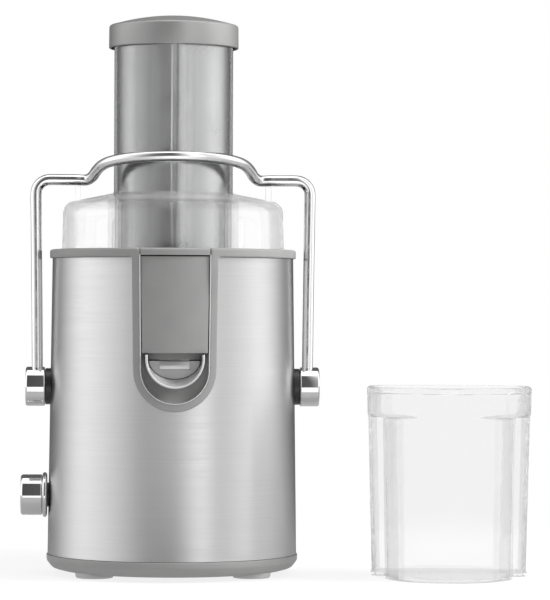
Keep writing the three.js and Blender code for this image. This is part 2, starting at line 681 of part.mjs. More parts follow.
const pivotSpacer = () =>
  cut(
    barX(PIVOT.spacerR, 86.5, PIVOT.spacerOut, 0, PIVOT.z, MIDDLE),
    barX(PIVOT.pinR + 0.4, PIVOT.pinIn, PIVOT.hubIn, 0, PIVOT.z, NARROW),
    spacerFit(),
  );

// The spacer's inner face follows the sleeve.
const spacerFit = () =>
  cone(0, SLEEVE.rBottom + GAP, SLEEVE.z0, 0, SLEEVE.rTop + GAP, SLEEVE.z1, WIDE);

// ---------------------------------------------------------------- speed selector

const shaftHole = (from, to, play = GAP) => barX(KNOB.shaftR + play, from, to, 0, KNOB.z, NARROW);

const selectorKnob = () =>
  cut(barX(KNOB.r, KNOB.tip, KNOB.flangeOut - GAP, 0, KNOB.z, MIDDLE), shaftHole(KNOB.shaftOut - GAP, -90));
const selectorFlange = () =>
  cut(barX(KNOB.flangeR, KNOB.flangeOut, KNOB.flangeIn, 0, KNOB.z, MIDDLE), shaftHole(-100, -90));
const selectorNeck = () =>
  cut(barX(KNOB.neckR, KNOB.neckOut, -86.2, 0, KNOB.z, NARROW), shaftHole(-95, -80, 0.4));
const selectorShaft = () => barX(KNOB.shaftR, KNOB.shaftOut, KNOB.shaftIn, 0, KNOB.z, NARROW);
const selectorSwitch = () =>
  cut(block(...SWITCH.x, -SWITCH.half, SWITCH.half, ...SWITCH.z), shaftHole(-82, KNOB.shaftIn + GAP));

// ---------------------------------------------------------------- juice jug

// A plan outline, round at the front and squarer at the back.
function jugOutline(halfWidth, halfDepth) {
  const points = [];
  const count = 36;
  for (let i = 0; i < count; i++) {
    const angle = (2 * Math.PI * i) / count;
    const power = Math.sin(angle) < 0 ? 2 / 2.3 : 2 / 4;
    const bend = (value) => Math.sign(value) * Math.abs(value) ** power;
    points.push([halfWidth * bend(Math.cos(angle)), halfDepth * bend(Math.sin(angle))]);
  }
  return points;
}

// The front of the jug between the two finger grips: straight sides and a half circle.
function bulgeOutline(radius) {
  const points = [[radius, 30], [-radius, 30]];
  const steps = 14;
  for (let i = 0; i <= steps; i++) {
    const angle = Math.PI + (Math.PI * i) / steps;
    points.push([radius * Math.cos(angle), GRIP.bulgeY + radius * Math.sin(angle)]);
  }
  return points;
}

// The space that the two finger grips take out of the jug, for walls moved in by inset.
function gripSpace(inset) {
  const around = block(-90, 90, -90, GRIP.y + inset, -5, GRIP.top + inset);
  const bulge = solid(stacked([
    [-6, bulgeOutline(GRIP.rBottom - inset)],
    [GRIP.top + inset + 1, bulgeOutline(GRIP.rTop - inset)],
  ]));
  return cut(around, bulge);
}

// The pouring lip: a half cone that grows out of the front wall towards the rim.
function lipSolid(inset) {
  const geometry = new THREE.CylinderGeometry(LIP.half - inset, 3, LIP.depth, NARROW);
  geometry.rotateX(Math.PI / 2);
  geometry.scale(1, 0.6, 1);
  const reach = LIP.reach - (LIP.half - inset) * 0.6 - inset;
  geometry.translate(0, -JUG.rim[1] - JUG.bead - reach, JUG.height - LIP.depth / 2 + inset * 0.5);
  return solid(geometry);
}

function jug() {
  const [w0, d0] = JUG.base;
  const [w1, d1] = JUG.rim;
  const h = JUG.height;
  const lowEdge = JUG.lowEdge;
  const body = solid(stacked([
    [0, jugOutline(w0 - lowEdge, d0 - lowEdge)],
    [lowEdge, jugOutline(w0, d0)],
    [h, jugOutline(w1, d1)],
  ]));
  const bead = solid(stacked([
    [h - JUG.beadTall, jugOutline(w1 + JUG.bead * 0.7, d1 + JUG.bead * 0.7)],
    [h - JUG.beadTall + 1, jugOutline(w1 + JUG.bead, d1 + JUG.bead)],
    [h, jugOutline(w1 + JUG.bead, d1 + JUG.bead)],
  ]));
  const room = solid(stacked([
    [JUG.wall, jugOutline(w0 - lowEdge - JUG.wall, d0 - lowEdge - JUG.wall)],
    [JUG.wall + lowEdge, jugOutline(w0 - JUG.wall, d0 - JUG.wall)],
    [h + 1, jugOutline(w1 - JUG.wall, d1 - JUG.wall)],
  ]));
  const outer = join(cut(body, gripSpace(0)), bead, lipSolid(0));
  const hollow = join(cut(room, gripSpace(JUG.wall)), lipSolid(JUG.wall));
  return cut(outer, hollow);
}

// ---------------------------------------------------------------- pulp container

// A bin whose front wall follows the round base, for inset walls and floor.
function pulpBin(inset, z0, z1) {
  const half = PULP.half - inset;
  const y1 = PULP.y1 - inset;
  const c = PULP.corner - inset;
  const shape = new THREE.Shape();
  shape.moveTo(-half, PULP.y0 - inset);
  shape.lineTo(-half, y1 - c);
  shape.absarc(-half + c, y1 - c, c, Math.PI, Math.PI / 2, true);
  shape.absarc(half - c, y1 - c, c, Math.PI / 2, 0, true);
  shape.lineTo(half, PULP.y0 - inset);
  shape.closePath();
  const nose = inset > 0 ? block(-90, 90, 40, PULP.y0 + inset, z0 - 1, z1 + 1) : null;
  const bin = cut(raised(shape, z0, z1, 8), disc(PULP.clear + inset, z0 - 1, z1 + 1, WIDE));
  return nose ? cut(bin, nose) : bin;
}

const pulpContainer = () =>
  cut(pulpBin(0, 0, PULP.height), pulpBin(PULP.wall, PULP.wall, PULP.height + 1));

// ---------------------------------------------------------------- assembly

function baseGroup() {
  const group = new THREE.Group();
  group.add(
    piece('steel_sleeve', steelSleeve(), steel),
    piece('inner_housing', innerHousing(), darkPlastic),
    piece('top_collar', topCollar(), greyPlastic),
    piece('base_pan', basePan(), greyPlastic),
  );
  const corners = { front_left: [-1, -1], front_right: [1, -1], rear_left: [-1, 1], rear_right: [1, 1] };
  for (const [corner, [sx, sy]] of Object.entries(corners)) {
    group.add(piece(`foot_${corner}`, foot(), footRubber, [sx * FOOT.x, sy * FOOT.y, 0]));
    const at = SCREW.ring * Math.SQRT1_2;
    group.add(piece(`base_screw_${corner}`, baseScrew(), motorSteel, [sx * at, sy * at, 0]));
  }
  const gland = cut(barX(GLAND.r, 84.5, 96, 0, GLAND.z, NARROW), barX(4, 70, 100, 0, GLAND.z, NARROW));
  const glandRoom = disc(HOUSING.rOut + GAP, 10, 60, WIDE);
  group.add(
    piece('cord_gland', turnAboutZ(cut(gland, glandRoom), GLAND.angle), darkPlastic),
    piece('control_board', block(...BOARD.x, -BOARD.half, BOARD.half, ...BOARD.z), boardGreen),
    piece('selector_switch', selectorSwitch(), darkPlastic),
    piece('selector_neck', selectorNeck(), darkPlastic),
    piece('pivot_spacer_right', pivotSpacer(), darkPlastic),
    piece('pivot_spacer_left', mirrorX(pivotSpacer()), darkPlastic),
  );
  return group;
}

function motorGroup() {
  const group = new THREE.Group();
  group.add(
    piece('motor_end_frame_lower', endFrameLower(), motorSteel),
    piece('motor_end_frame_upper', endFrameUpper(), motorSteel),
    piece('stator_core', statorCore(), motorSteel),
    piece('field_coil_lower', tube(COIL.rIn, COIL.rOut, ...COIL.low, MIDDLE), copper),
    piece('field_coil_upper', tube(COIL.rIn, COIL.rOut, ...COIL.high, MIDDLE), copper),
    piece('bearing_lower', tube(BEARING.rIn, BEARING.rOut, ...BEARING.low, NARROW), steel),
    piece('bearing_upper', tube(BEARING.rIn, BEARING.rOut, ...BEARING.high, NARROW), steel),
    piece('shaft_seal', shaftSeal(), darkPlastic),
  );
  const brush = block(...BRUSH.x, -BRUSH.half, BRUSH.half, ...BRUSH.z);
  group.add(
    piece('brush_holder_right', brushHolder(), copper),
    piece('brush_holder_left', mirrorX(brushHolder()), copper),
    piece('carbon_brush_right', brush, carbon),
    piece('carbon_brush_left', mirrorX(brush), carbon),
  );
  damperAngles.forEach((angle, i) => {
    const [x, y] = ringPoint(DAMPER.ring, angle);
    const damper = barZ(DAMPER.r, ...DAMPER.z, 0, 0, NARROW);
    group.add(piece(`motor_damper_${i + 1}`, damper, darkPlastic, [x, y, 0]));
  });
  return group;
}

function rotorGroup() {
  const group = new THREE.Group();
  group.add(
    piece('motor_shaft', barZ(SHAFT.r, SHAFT.z0, SHAFT.z1, 0, 0, NARROW), steel),
    piece('commutator', tube(SHAFT.bore, COMMUTATOR.r, ...COMMUTATOR.z, NARROW), copper),
    piece('armature', armatureCore(), motorSteel),
    piece('cooling_fan', coolingFan(), darkPlastic),
    piece('drive_coupling', driveCoupling(), darkPlastic),
    piece('basket_base', basketBase(), silverPlastic),
    piece('grater_disc', graterDisc(), steel),
    piece('filter_sieve', filterSieve(), steel),
    piece('basket_rim', tube(BASKET.rimIn, BASKET.rimR, BASKET.z1 + GAP, BASKET.rimTop), silverPlastic),
  );
  return group;
}

function bowlGroup() {
  const group = new THREE.Group();
  group.add(
    piece('juice_bowl', juiceBowl(), greyPlastic),
    piece('spout_cover', spoutCover(), greyPlastic),
    piece('juice_spout', juiceSpout(), silverPlastic),
  );
  return group;
}

function lidGroup() {
  const group = new THREE.Group();
  group.add(
    piece('clear_lid', clearLid(), clearPlastic),
    piece('feed_tube', feedTube(), clearPlastic),
    piece('pusher_body', pusherBody(), silverPlastic),
    piece('pusher_cap', pusherCap(), greyPlastic),
  );
  return group;
}

function bailGroup() {
  const group = new THREE.Group();
  group.add(
    piece('bail_rod', bailRod(), chrome),
    piece('bail_hub_right', bailHub(), chrome),
    piece('bail_hub_left', mirrorX(bailHub()), chrome),
    piece('pivot_pin_right', pivotPin(), steel),
    piece('pivot_pin_left', mirrorX(pivotPin()), steel),
  );
  return group;
}

function selectorGroup() {
  const group = new THREE.Group();
  group.add(
    piece('selector_knob', selectorKnob(), chrome),
    piece('selector_flange', selectorFlange(), chrome),
    piece('selector_shaft', selectorShaft(), steel),
  );
  return group;
}

const jugSolid = turnAboutZ(jug(), JUG.turn);
const jugBox = new THREE.Box3().setFromBufferAttribute(geometryOf(jugSolid).attributes.position);

// The set's own box decides how far its middle lies from the juicer's axis.
const left = KNOB.tip;
const right = JUG.x + jugBox.max.x;
const front = JUG.y + jugBox.min.y;
const back = PULP.y1;

const juicer = new THREE.Group();
juicer.position.set(-(left + right) / 2, -(front + back) / 2, 0);
juicer.add(baseGroup(), motorGroup(), rotorGroup(), bowlGroup(), lidGroup(), bailGroup(), selectorGroup());
juicer.add(piece('juice_jug', jugSolid, clearPlastic, [JUG.x, JUG.y, 0]));
juicer.add(piece('pulp_container', pulpContainer(), clearPlastic));

const set = new THREE.Group();
set.add(juicer);

export default set;
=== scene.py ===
"""Centrifugal juicer with its juice jug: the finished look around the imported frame."""
import json
import math

import bmesh
import bpy
from mathutils import Matrix, Vector


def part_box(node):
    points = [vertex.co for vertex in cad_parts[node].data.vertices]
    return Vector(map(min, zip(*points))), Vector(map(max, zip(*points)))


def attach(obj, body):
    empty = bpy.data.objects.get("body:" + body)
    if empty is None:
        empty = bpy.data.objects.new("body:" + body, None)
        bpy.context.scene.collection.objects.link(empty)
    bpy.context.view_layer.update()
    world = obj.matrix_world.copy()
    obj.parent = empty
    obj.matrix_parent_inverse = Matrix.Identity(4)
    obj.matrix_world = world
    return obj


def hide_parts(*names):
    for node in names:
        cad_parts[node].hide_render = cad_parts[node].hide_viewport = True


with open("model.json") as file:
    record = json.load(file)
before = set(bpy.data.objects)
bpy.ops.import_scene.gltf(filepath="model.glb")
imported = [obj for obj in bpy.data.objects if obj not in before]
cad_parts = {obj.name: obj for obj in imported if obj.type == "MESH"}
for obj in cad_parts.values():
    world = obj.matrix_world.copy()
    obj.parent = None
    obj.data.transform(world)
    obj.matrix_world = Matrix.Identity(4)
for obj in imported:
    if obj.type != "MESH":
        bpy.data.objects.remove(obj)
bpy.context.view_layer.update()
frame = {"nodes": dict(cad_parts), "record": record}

MM = 0.001
TAU = 2 * math.pi
ROUND = 160  # facets round a large circle
FINE = 96  # facets round a small circle

# ------------------------------------------------------------------ sizes, in millimetres


def node_box(node):
    """Lowest and highest corner of a CAD node, in millimetres."""
    low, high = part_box(node)
    return [v / MM for v in low], [v / MM for v in high]


def middle(node):
    low, high = node_box(node)
    return [(a + b) / 2 for a, b in zip(low, high)]


SLEEVE_LOW, SLEEVE_HIGH = node_box("steel_sleeve")
AXIS = (middle("steel_sleeve")[0], middle("steel_sleeve")[1])
JUG_CENTRE = (AXIS[0] + 197.7, AXIS[1] - 47)
JUG_TURN = math.radians(-6)

SLEEVE_R0 = (SLEEVE_HIGH[0] - SLEEVE_LOW[0]) / 2
SLEEVE_R1 = SLEEVE_R0 - 2.9
SLEEVE_Z0 = SLEEVE_LOW[2]
SLEEVE_Z1 = SLEEVE_HIGH[2]

RING_R = 89.6
RING_IN = 81.5
RING_Z0 = 228.8
RING_Z1 = 235.1

CHANNEL_TOP = 245.0
ARC_Z = 149.3
OUTER = (31.0, 29.7)  # half width of the channel's frame at CHANNEL_TOP and at ARC_Z
INNER = (25.1, 24.2)
BOWL_ROOM = 79.6
SCOOP_DEPTH = 11.0

PIVOT_Z = 135.5
KNOB_Z = 56.6


def sleeve_radius(z):
    share = (z - SLEEVE_Z0) / (SLEEVE_Z1 - SLEEVE_Z0)
    return SLEEVE_R0 + (SLEEVE_R1 - SLEEVE_R0) * share


def lerp(a, b, t):
    return a + (b - a) * t


def smooth(low, high, value):
    """0 below low, 1 above high, an S curve between them."""
    t = min(max((value - low) / (high - low), 0.0), 1.0)
    return t * t * (3 - 2 * t)


# ------------------------------------------------------------------ mesh helpers


def make(name, verts, faces, centre=(0.0, 0.0), sharp=35):
    """A mesh object from millimetre points about a centre in plan, shaded smooth below the sharp angle."""
    points = [((x + centre[0]) * MM, (y + centre[1]) * MM, z * MM) for x, y, z in verts]
    data = bpy.data.meshes.new(name)
    data.from_pydata(points, [], faces)
    obj = bpy.data.objects.new(name, data)
    bpy.context.scene.collection.objects.link(obj)
    tidy_mesh(obj, sharp)
    return obj


def tidy_mesh(obj, sharp=35):
    """Merges doubles, turns the faces outward and sets smooth shading with sharp corners kept."""
    bm = bmesh.new()
    bm.from_mesh(obj.data)
    bmesh.ops.remove_doubles(bm, verts=bm.verts, dist=1e-7)
    bmesh.ops.dissolve_degenerate(bm, edges=bm.edges, dist=1e-7)
    bmesh.ops.recalc_face_normals(bm, faces=bm.faces)
    bm.to_mesh(obj.data)
    bm.free()
    obj.data.polygons.foreach_set("use_smooth", [True] * len(obj.data.polygons))
    obj.data.set_sharp_from_angle(angle=math.radians(sharp))
    obj.data.update()


def grid_faces(rows, cols, wrap_rows=False, wrap_cols=False):
    faces = []
    for i in range(rows if wrap_rows else rows - 1):
        for j in range(cols if wrap_cols else cols - 1):
            a = i * cols + j
            b = i * cols + (j + 1) % cols
            c = ((i + 1) % rows) * cols + (j + 1) % cols
            d = ((i + 1) % rows) * cols + j
            faces.append((a, b, c, d))
    return faces


def rounded(points, steps=5, closed=True):
    """A 2D outline with its corners rounded: each point is (a, b) or (a, b, radius)."""
    out = []
    count = len(points)
    for i, point in enumerate(points):
        here = Vector(point[:2])
        radius = point[2] if len(point) > 2 else 0
        end = not closed and i in (0, count - 1)
        if radius <= 0 or end:
            out.append(tuple(here))
            continue
        before = Vector(points[i - 1][:2]) - here
        after = Vector(points[(i + 1) % count][:2]) - here
        turn = before.angle(after)
        reach = min(radius / math.tan(turn / 2), before.length * 0.5, after.length * 0.5)
        radius = reach * math.tan(turn / 2)
        start = here + before.normalized() * reach
        finish = here + after.normalized() * reach
        hub = here + (before.normalized() + after.normalized()).normalized() * (radius / math.sin(turn / 2))
        a0 = math.atan2(start.y - hub.y, start.x - hub.x)
        sweep = math.atan2(finish.y - hub.y, finish.x - hub.x) - a0
        sweep = (sweep + math.pi) % TAU - math.pi
        for k in range(steps + 1):
            a = a0 + sweep * k / steps
            out.append((hub.x + radius * math.cos(a), hub.y + radius * math.sin(a)))
    return out


def turned(name, profile, segments=ROUND, centre=AXIS, closed=True, sharp=35):
    """A profile of (radius, height) turned about the vertical through centre."""
    verts = []
    for k in range(segments):
        a = TAU * k / segments
        verts += [(r * math.sin(a), -r * math.cos(a), z) for r, z in profile]
    faces = grid_faces(segments, len(profile), wrap_rows=True, wrap_cols=closed)
    return make(name, verts, faces, centre, sharp)


def turned_x(name, profile, z, segments=FINE, sharp=35):
    """A profile of (x, radius) turned about the line through the juicer's axis at height z, along X."""
    verts = []
    for k in range(segments):
        a = TAU * k / segments
        verts += [(x, r * math.cos(a), z + r * math.sin(a)) for x, r in profile]
    faces = grid_faces(segments, len(profile), wrap_rows=True, wrap_cols=True)
    return make(name, verts, faces, AXIS, sharp)


def apply_modifier(obj, kind, **settings):
    modifier = obj.modifiers.new(kind.lower(), kind)
    for key, value in settings.items():
        setattr(modifier, key, value)
    graph = bpy.context.evaluated_depsgraph_get()
    mesh = bpy.data.meshes.new_from_object(obj.evaluated_get(graph))
    obj.modifiers.clear()
    old = obj.data
    obj.data = mesh
    bpy.data.meshes.remove(old)
    return obj


def carve(obj, tool, operation="DIFFERENCE", sharp=35):
    """Joins or cuts obj with a tool, which is then removed."""
    apply_modifier(obj, "BOOLEAN", object=tool, operation=operation, solver="EXACT")
    bpy.data.objects.remove(tool, do_unlink=True)
    tidy_mesh(obj, sharp)
    return obj


def bevelled(obj, width, segments=3, angle=40, sharp=35):
    limit = {"limit_method": "ANGLE", "angle_limit": math.radians(angle)}
    apply_modifier(obj, "BEVEL", width=width * MM, segments=segments, **limit)
    tidy_mesh(obj, sharp)
    return obj


def joined(obj, *others):
    """Puts several meshes in one object."""
    bm = bmesh.new()
    for part in (obj, *others):
        bm.from_mesh(part.data)
    bm.to_mesh(obj.data)
    bm.free()
    for part in others:
        bpy.data.objects.remove(part, do_unlink=True)
    obj.data.set_sharp_from_angle(angle=math.radians(35))
    return obj


def cuboid(name, x0, x1, y0, y1, z0, z1, centre=AXIS):
    verts = [(x, y, z) for x in (x0, x1) for y in (y0, y1) for z in (z0, z1)]
    faces = [(0, 1, 3, 2), (4, 6, 7, 5), (0, 4, 5, 1), (2, 3, 7, 6), (0, 2, 6, 4), (1, 5, 7, 3)]
    return make(name, verts, faces, centre)


def rod(name, path, radius, sides=28, centre=AXIS):
    """A round bar along a smooth path, with flat ends."""
    points = [Vector(p) for p in path]
    tangents = []
    for i in range(len(points)):
        ahead = points[min(i + 1, len(points) - 1)]
        behind = points[max(i - 1, 0)]
        tangents.append((ahead - behind).normalized())
    side = tangents[0].orthogonal().normalized()
    verts = []
    for point, tangent in zip(points, tangents):
        side = (side - tangent * side.dot(tangent)).normalized()
        up = tangent.cross(side)
        for k in range(sides):
            a = TAU * k / sides
            verts.append(tuple(point + side * (radius * math.cos(a)) + up * (radius * math.sin(a))))
    faces = grid_faces(len(points), sides, wrap_cols=True)
    faces.append(tuple(range(sides)))
    faces.append(tuple(range((len(points) - 1) * sides, len(points) * sides)))
    return make(name, verts, faces, centre, 50)


def spline(points, per_span=12):
    """Points along a centripetal Catmull-Rom curve through the given ones."""
    pts = [Vector(p) for p in points]
    pts = [pts[0] * 2 - pts[1]] + pts + [pts[-1] * 2 - pts[-2]]
    out = []
    for i in range(1, len(pts) - 2):
        p0, p1, p2, p3 = pts[i - 1 : i + 3]
        t1 = (p1 - p0).length ** 0.5
        t2 = t1 + (p2 - p1).length ** 0.5
        t3 = t2 + (p3 - p2).length ** 0.5
        for k in range(per_span):
            t = t1 + (t2 - t1) * k / per_span
            a1 = p0 * ((t1 - t) / t1) + p1 * (t / t1)
            a2 = p1 * ((t2 - t) / (t2 - t1)) + p2 * ((t - t1) / (t2 - t1))
            a3 = p2 * ((t3 - t) / (t3 - t2)) + p3 * ((t - t2) / (t3 - t2))
            b1 = a1 * ((t2 - t) / t2) + a2 * (t / t2)
            b2 = a2 * ((t3 - t) / (t3 - t1)) + a3 * ((t - t1) / (t3 - t1))
            out.append(b1 * ((t2 - t) / (t2 - t1)) + b2 * ((t - t1) / (t2 - t1)))
    out.append(pts[-2])
    return [tuple(p) for p in out]


# ------------------------------------------------------------------ materials


def feed(tree, socket, value):
    """Sets a socket to a value, or links another node's output to it."""
    if isinstance(value, bpy.types.NodeSocket):
        tree.links.new(value, socket)
    else:
        socket.default_value = value


def add_node(tree, kind, inputs=None, **settings):
    node = tree.nodes.new("ShaderNode" + kind)
    for key, value in settings.items():
        setattr(node, key, value)
    for socket, value in (inputs or {}).items():
        feed(tree, node.inputs[socket], value)
    return node


def calc(tree, operation, *values):
    return add_node(tree, "Math", dict(enumerate(values)), operation=operation).outputs[0]


def remap(tree, value, start, end, low=0.0, high=1.0, curve="LINEAR"):
    """The value stretched from start..end to low..high, and held at both ends."""
    inputs = {"Value": value, "From Min": start, "From Max": end, "To Min": low, "To Max": high}
    return add_node(tree, "MapRange", inputs, interpolation_type=curve).outputs["Result"]


def mixed(tree, factor, first, second, blend_type="MIX"):
    inputs = {"Factor": factor, "A": first, "B": second}
    return add_node(tree, "Mix", inputs, data_type="RGBA", blend_type=blend_type).outputs["Result"]


def grey_ramp(tree, stops, place):
    """A grey level along place, from stops of (place, level)."""
    node = add_node(tree, "ValToRGB", {"Fac": place})
    elements = node.color_ramp.elements
    elements.remove(elements[-1])
    elements[0].position = stops[0][0]
    for i, (position, level) in enumerate(stops):
        element = elements[0] if i == 0 else elements.new(position)
        element.color = (level, level, level, 1)
    return node.outputs["Color"]


class Look:
    """A node material with short ways to add grain, bump and colour variation."""

    def __init__(self, name, color, roughness, metallic=0.0, **sockets):
        self.material = bpy.data.materials.new(name)
        self.material.use_nodes = True
        self.tree = self.material.node_tree
        self.color = (*color, 1.0)
        self.material.diffuse_color = self.color
        self.set("Base Color", self.color)
        self.set("Roughness", roughness)
        self.set("Metallic", metallic)
        for key, value in sockets.items():
            self.set(key.replace("_", " "), value)
        self.place = self.node("TexCoord").outputs["Object"]

    def set(self, socket, value):
        feed(self.tree, self.tree.nodes["Principled BSDF"].inputs[socket], value)

    def node(self, kind, inputs=None, **settings):
        return add_node(self.tree, kind, inputs, **settings)

    def noise(self, scale, detail=3.0, rough=0.5):
        """Noise over the object; scale is features per metre, along x, y and z or all alike."""
        scale = (scale, scale, scale) if isinstance(scale, (int, float)) else scale
        place = self.node("Mapping", {"Scale": scale, "Vector": self.place}).outputs["Vector"]
        inputs = {"Scale": 1.0, "Detail": detail, "Roughness": rough, "Vector": place}
        return self.node("TexNoise", inputs).outputs["Fac"]

    def spread(self, value, low, high):
        """The middle of a noise, stretched to run from low to high."""
        return remap(self.tree, value, 0.3, 0.7, low, high)

    def along(self, axis, start, end):
        """0 to 1 between two places along one of the object's axes."""
        place = self.node("SeparateXYZ", {"Vector": self.place}).outputs[axis]
        return remap(self.tree, place, start, end)

    def facing(self, start, end, low=0.0, high=1.0):
        """From low where the surface faces the ray to high where it is seen edge on."""
        facing = self.node("LayerWeight", {"Blend": 0.5}).outputs["Facing"]
        return remap(self.tree, facing, start, end, low, high, "SMOOTHSTEP")

    def vary_roughness(self, value, low, high):
        self.set("Roughness", self.spread(value, low, high))

    def vary_color(self, value, low, high):
        self.set("Base Color", mixed(self.tree, 1.0, self.color, self.spread(value, low, high), "MULTIPLY"))

    def bump(self, value, depth_mm, strength=1.0):
        inputs = {"Strength": strength, "Distance": depth_mm * MM, "Height": value}
        self.set("Normal", self.node("Bump", inputs).outputs["Normal"])


def grey(level, warm=0.0):
    return (level * (1 + warm), level, level * (1 - warm))


def brushed_steel():
    look = Look("brushed_steel", grey(0.80), 0.42, 1.0, Anisotropic=0.93, Anisotropic_Rotation=0.25)
    look.set("Tangent", look.node("Tangent", direction_type="RADIAL", axis="Z").outputs["Tangent"])
    look.vary_roughness(look.noise((20, 20, 900), 3), 0.38, 0.46)
    look.vary_color(look.noise((14, 14, 2600), 4, 0.6), 0.95, 1.0)
    look.bump(look.noise((10, 10, 3400), 2), 0.004, 0.5)
    return look.material


def moulded(name, level, rough, warm=0.0, grain=0.006):
    look = Look(name, grey(level, warm), rough)
    look.vary_roughness(look.noise(900, 3), rough - 0.05, rough + 0.06)
    look.vary_color(look.noise(60, 3), 0.96, 1.02)
    look.bump(look.noise(3200, 2), grain, 0.6)
    return look.material


def satin_grey():
    """The cap's grey: plastic with a metallic flake, so that it mirrors the room softly."""
    look = Look("satin_grey", grey(0.33, 0.006), 0.36, 0.5)
    look.vary_roughness(look.noise(700, 3), 0.32, 0.40)
    look.vary_color(look.noise(60, 3), 0.97, 1.02)
    look.bump(look.noise(3000, 2), 0.005, 0.5)
    return look.material


def silver_coat(name, level, low, high):
    """Silver lacquer, with the roughness running from low to high."""
    look = Look(name, grey(level), low, 0.85, Coat_Weight=0.3, Coat_Roughness=0.08)
    look.vary_roughness(look.noise(40, 3), low, high)
    look.bump(look.noise(2600, 2), 0.002, 0.4)
    return look


# The pusher's grey across its front, as painted reflection and shade bands standing in for the studio seen in
# its silver: millimetres from its axis, level.
PUSHER_PAINTED_REFLECTION_BANDS = (
    (-36, 0.44), (-27, 0.32), (-18, 0.35), (-11, 0.58),
    (5, 0.62), (9, 0.42), (16, 0.62), (30, 0.48), (38, 0.55),
)


def pusher_painted_reflection_silver():
    """The pusher's silver, with painted reflection bands in its colour: darker down its left and just right of
    its keyway, where the silver mirrors the dark parts of the room.
    """
    look = silver_coat("pusher_painted_reflection_silver", 0.58, 0.21, 0.28)
    half = 40
    across = look.along("X", (AXIS[0] - half) * MM, (AXIS[0] + half) * MM)
    stops = [((x + half) / (2 * half), level) for x, level in PUSHER_PAINTED_REFLECTION_BANDS]
    # painted reflection and shade: the room's bright and dark bands are set into the base colour across X
    look.set("Base Color", grey_ramp(look.tree, stops, across))
    return look.material


def hazed(name, tint, rough, ior, alpha, haze):
    """Clear moulded plastic, faintly white where it is seen at a slant."""
    look = Look(name, grey(tint), rough, IOR=ior, Alpha=alpha)
    look.set("Transmission Weight", look.facing(0.70, 0.95, 1.0, 1 - haze))
    look.vary_roughness(look.noise(35, 2), rough * 0.7, rough * 1.4)
    return look.material


def tube_painted_edge_shade():
    """Thick clear plastic with painted shade: its colour goes dark grey where it is seen edge on, above the
    lid's neck, standing in for the dark lines down the tube's sides.
    """
    look = Look("tube_plastic", (0.985, 0.988, 0.988), 0.02, Transmission_Weight=1.0, IOR=1.12)
    # painted shade: dark grey mixed into the colour at the tube's edges, from 272 to 275 mm upward only
    edge_shade = calc(look.tree, "MULTIPLY", look.facing(0.55, 0.72), look.along("Z", 272 * MM, 275 * MM))
    look.set("Base Color", mixed(look.tree, edge_shade, look.color, (0.14, 0.145, 0.145, 1)))
    look.vary_roughness(look.noise(35, 2), 0.012, 0.04)
    return look.material


def chrome(name, level, rough):
    look = Look(name, grey(level), rough, 1.0)
    look.vary_roughness(look.noise(120, 3), rough * 0.7, rough * 1.4)
    return look.material


def metal(name, level, rough, grain=300):
    look = Look(name, grey(level), rough, 1.0)
    look.vary_roughness(look.noise(grain, 3), rough - 0.06, rough + 0.08)
    look.vary_color(look.noise(grain, 3), 0.92, 1.0)
    look.bump(look.noise(grain, 2), 0.01, 0.3)
    return look.material


def laminated():
    """Motor iron: thin sheets stacked along Z."""
    look = Look("laminated_iron", grey(0.32), 0.45, 1.0)
    inputs = {"Scale": 320.0, "Vector": look.place}
    sheets = look.node("TexWave", inputs, wave_type="BANDS", bands_direction="Z")
    look.bump(sheets.outputs["Fac"], 0.12, 0.8)
    look.vary_color(look.noise(90, 3), 0.85, 1.0)
    return look.material


def wound_copper():
    look = Look("wound_copper", (0.50, 0.21, 0.09), 0.32, 0.9)
    inputs = {"Scale": 280.0, "Distortion": 1.0, "Vector": look.place}
    turns = look.node("TexWave", inputs, wave_type="RINGS", rings_direction="Z")
    look.bump(turns.outputs["Fac"], 0.2, 0.9)
    look.vary_color(look.noise(300, 3), 0.7, 1.0)
    return look.material


def perforated():
    """Stainless sheet with a pattern of tiny round holes that are not cut: each is painted near-black as
    painted shade and sunk by the bump.
    """
    look = Look("perforated_steel", grey(0.62), 0.3, 1.0)
    inputs = {"Scale": 620.0, "Randomness": 0.25, "Vector": look.place}
    cells = look.node("TexVoronoi", inputs, feature="F1")
    sheet = remap(look.tree, cells.outputs["Distance"], 0.30, 0.42)
    look.vary_roughness(look.noise(200, 2), 0.25, 0.4)
    # painted shade: the holes are coloured near-black for the dark seen through them
    look.set("Base Color", mixed(look.tree, sheet, (0.03, 0.03, 0.03, 1), look.color))
    look.bump(sheet, 0.2, 0.8)
    return look.material


def circuit_green():
    look = Look("circuit_green", (0.03, 0.14, 0.06), 0.45)
    look.vary_color(look.noise(240, 4), 0.6, 1.2)
    look.bump(look.noise(500, 2), 0.03, 0.5)
    return look.material


def spout_gloss():
    look = Look("spout_gloss", grey(0.62), 0.16, 0.35, Coat_Weight=0.5, Coat_Roughness=0.06)
    look.vary_roughness(look.noise(80, 2), 0.13, 0.20)
    return look.material


STEEL = brushed_steel()
GREY = moulded("grey_plastic", 0.262, 0.38, 0.006)
CAP_GREY = satin_grey()
PALE_RUBBER = moulded("pale_rubber", 0.42, 0.6, 0.0, 0.012)
BLACK = moulded("black_plastic", 0.018, 0.32)
SILVER = silver_coat("silver_coat", 0.60, 0.19, 0.26).material
PUSHER_PAINTED_REFLECTION_SILVER = pusher_painted_reflection_silver()
SPOUT_LOOK = spout_gloss()
CLEAR = hazed("clear_plastic", 0.985, 0.02, 1.12, 0.5, 0.35)
TUBE_CLEAR = tube_painted_edge_shade()
JUG_CLEAR = hazed("jug_plastic", 0.90, 0.10, 1.22, 0.55, 0.35)
CHROME = chrome("chrome", 0.82, 0.05)
BAIL_CHROME = chrome("bail_chrome", 0.84, 0.17)
GROUND = metal("ground_steel", 0.55, 0.28)
ZINC = metal("zinc_plated", 0.48, 0.4, 160)
IRON = laminated()
COPPER = wound_copper()
CARBON = moulded("carbon_block", 0.03, 0.6)
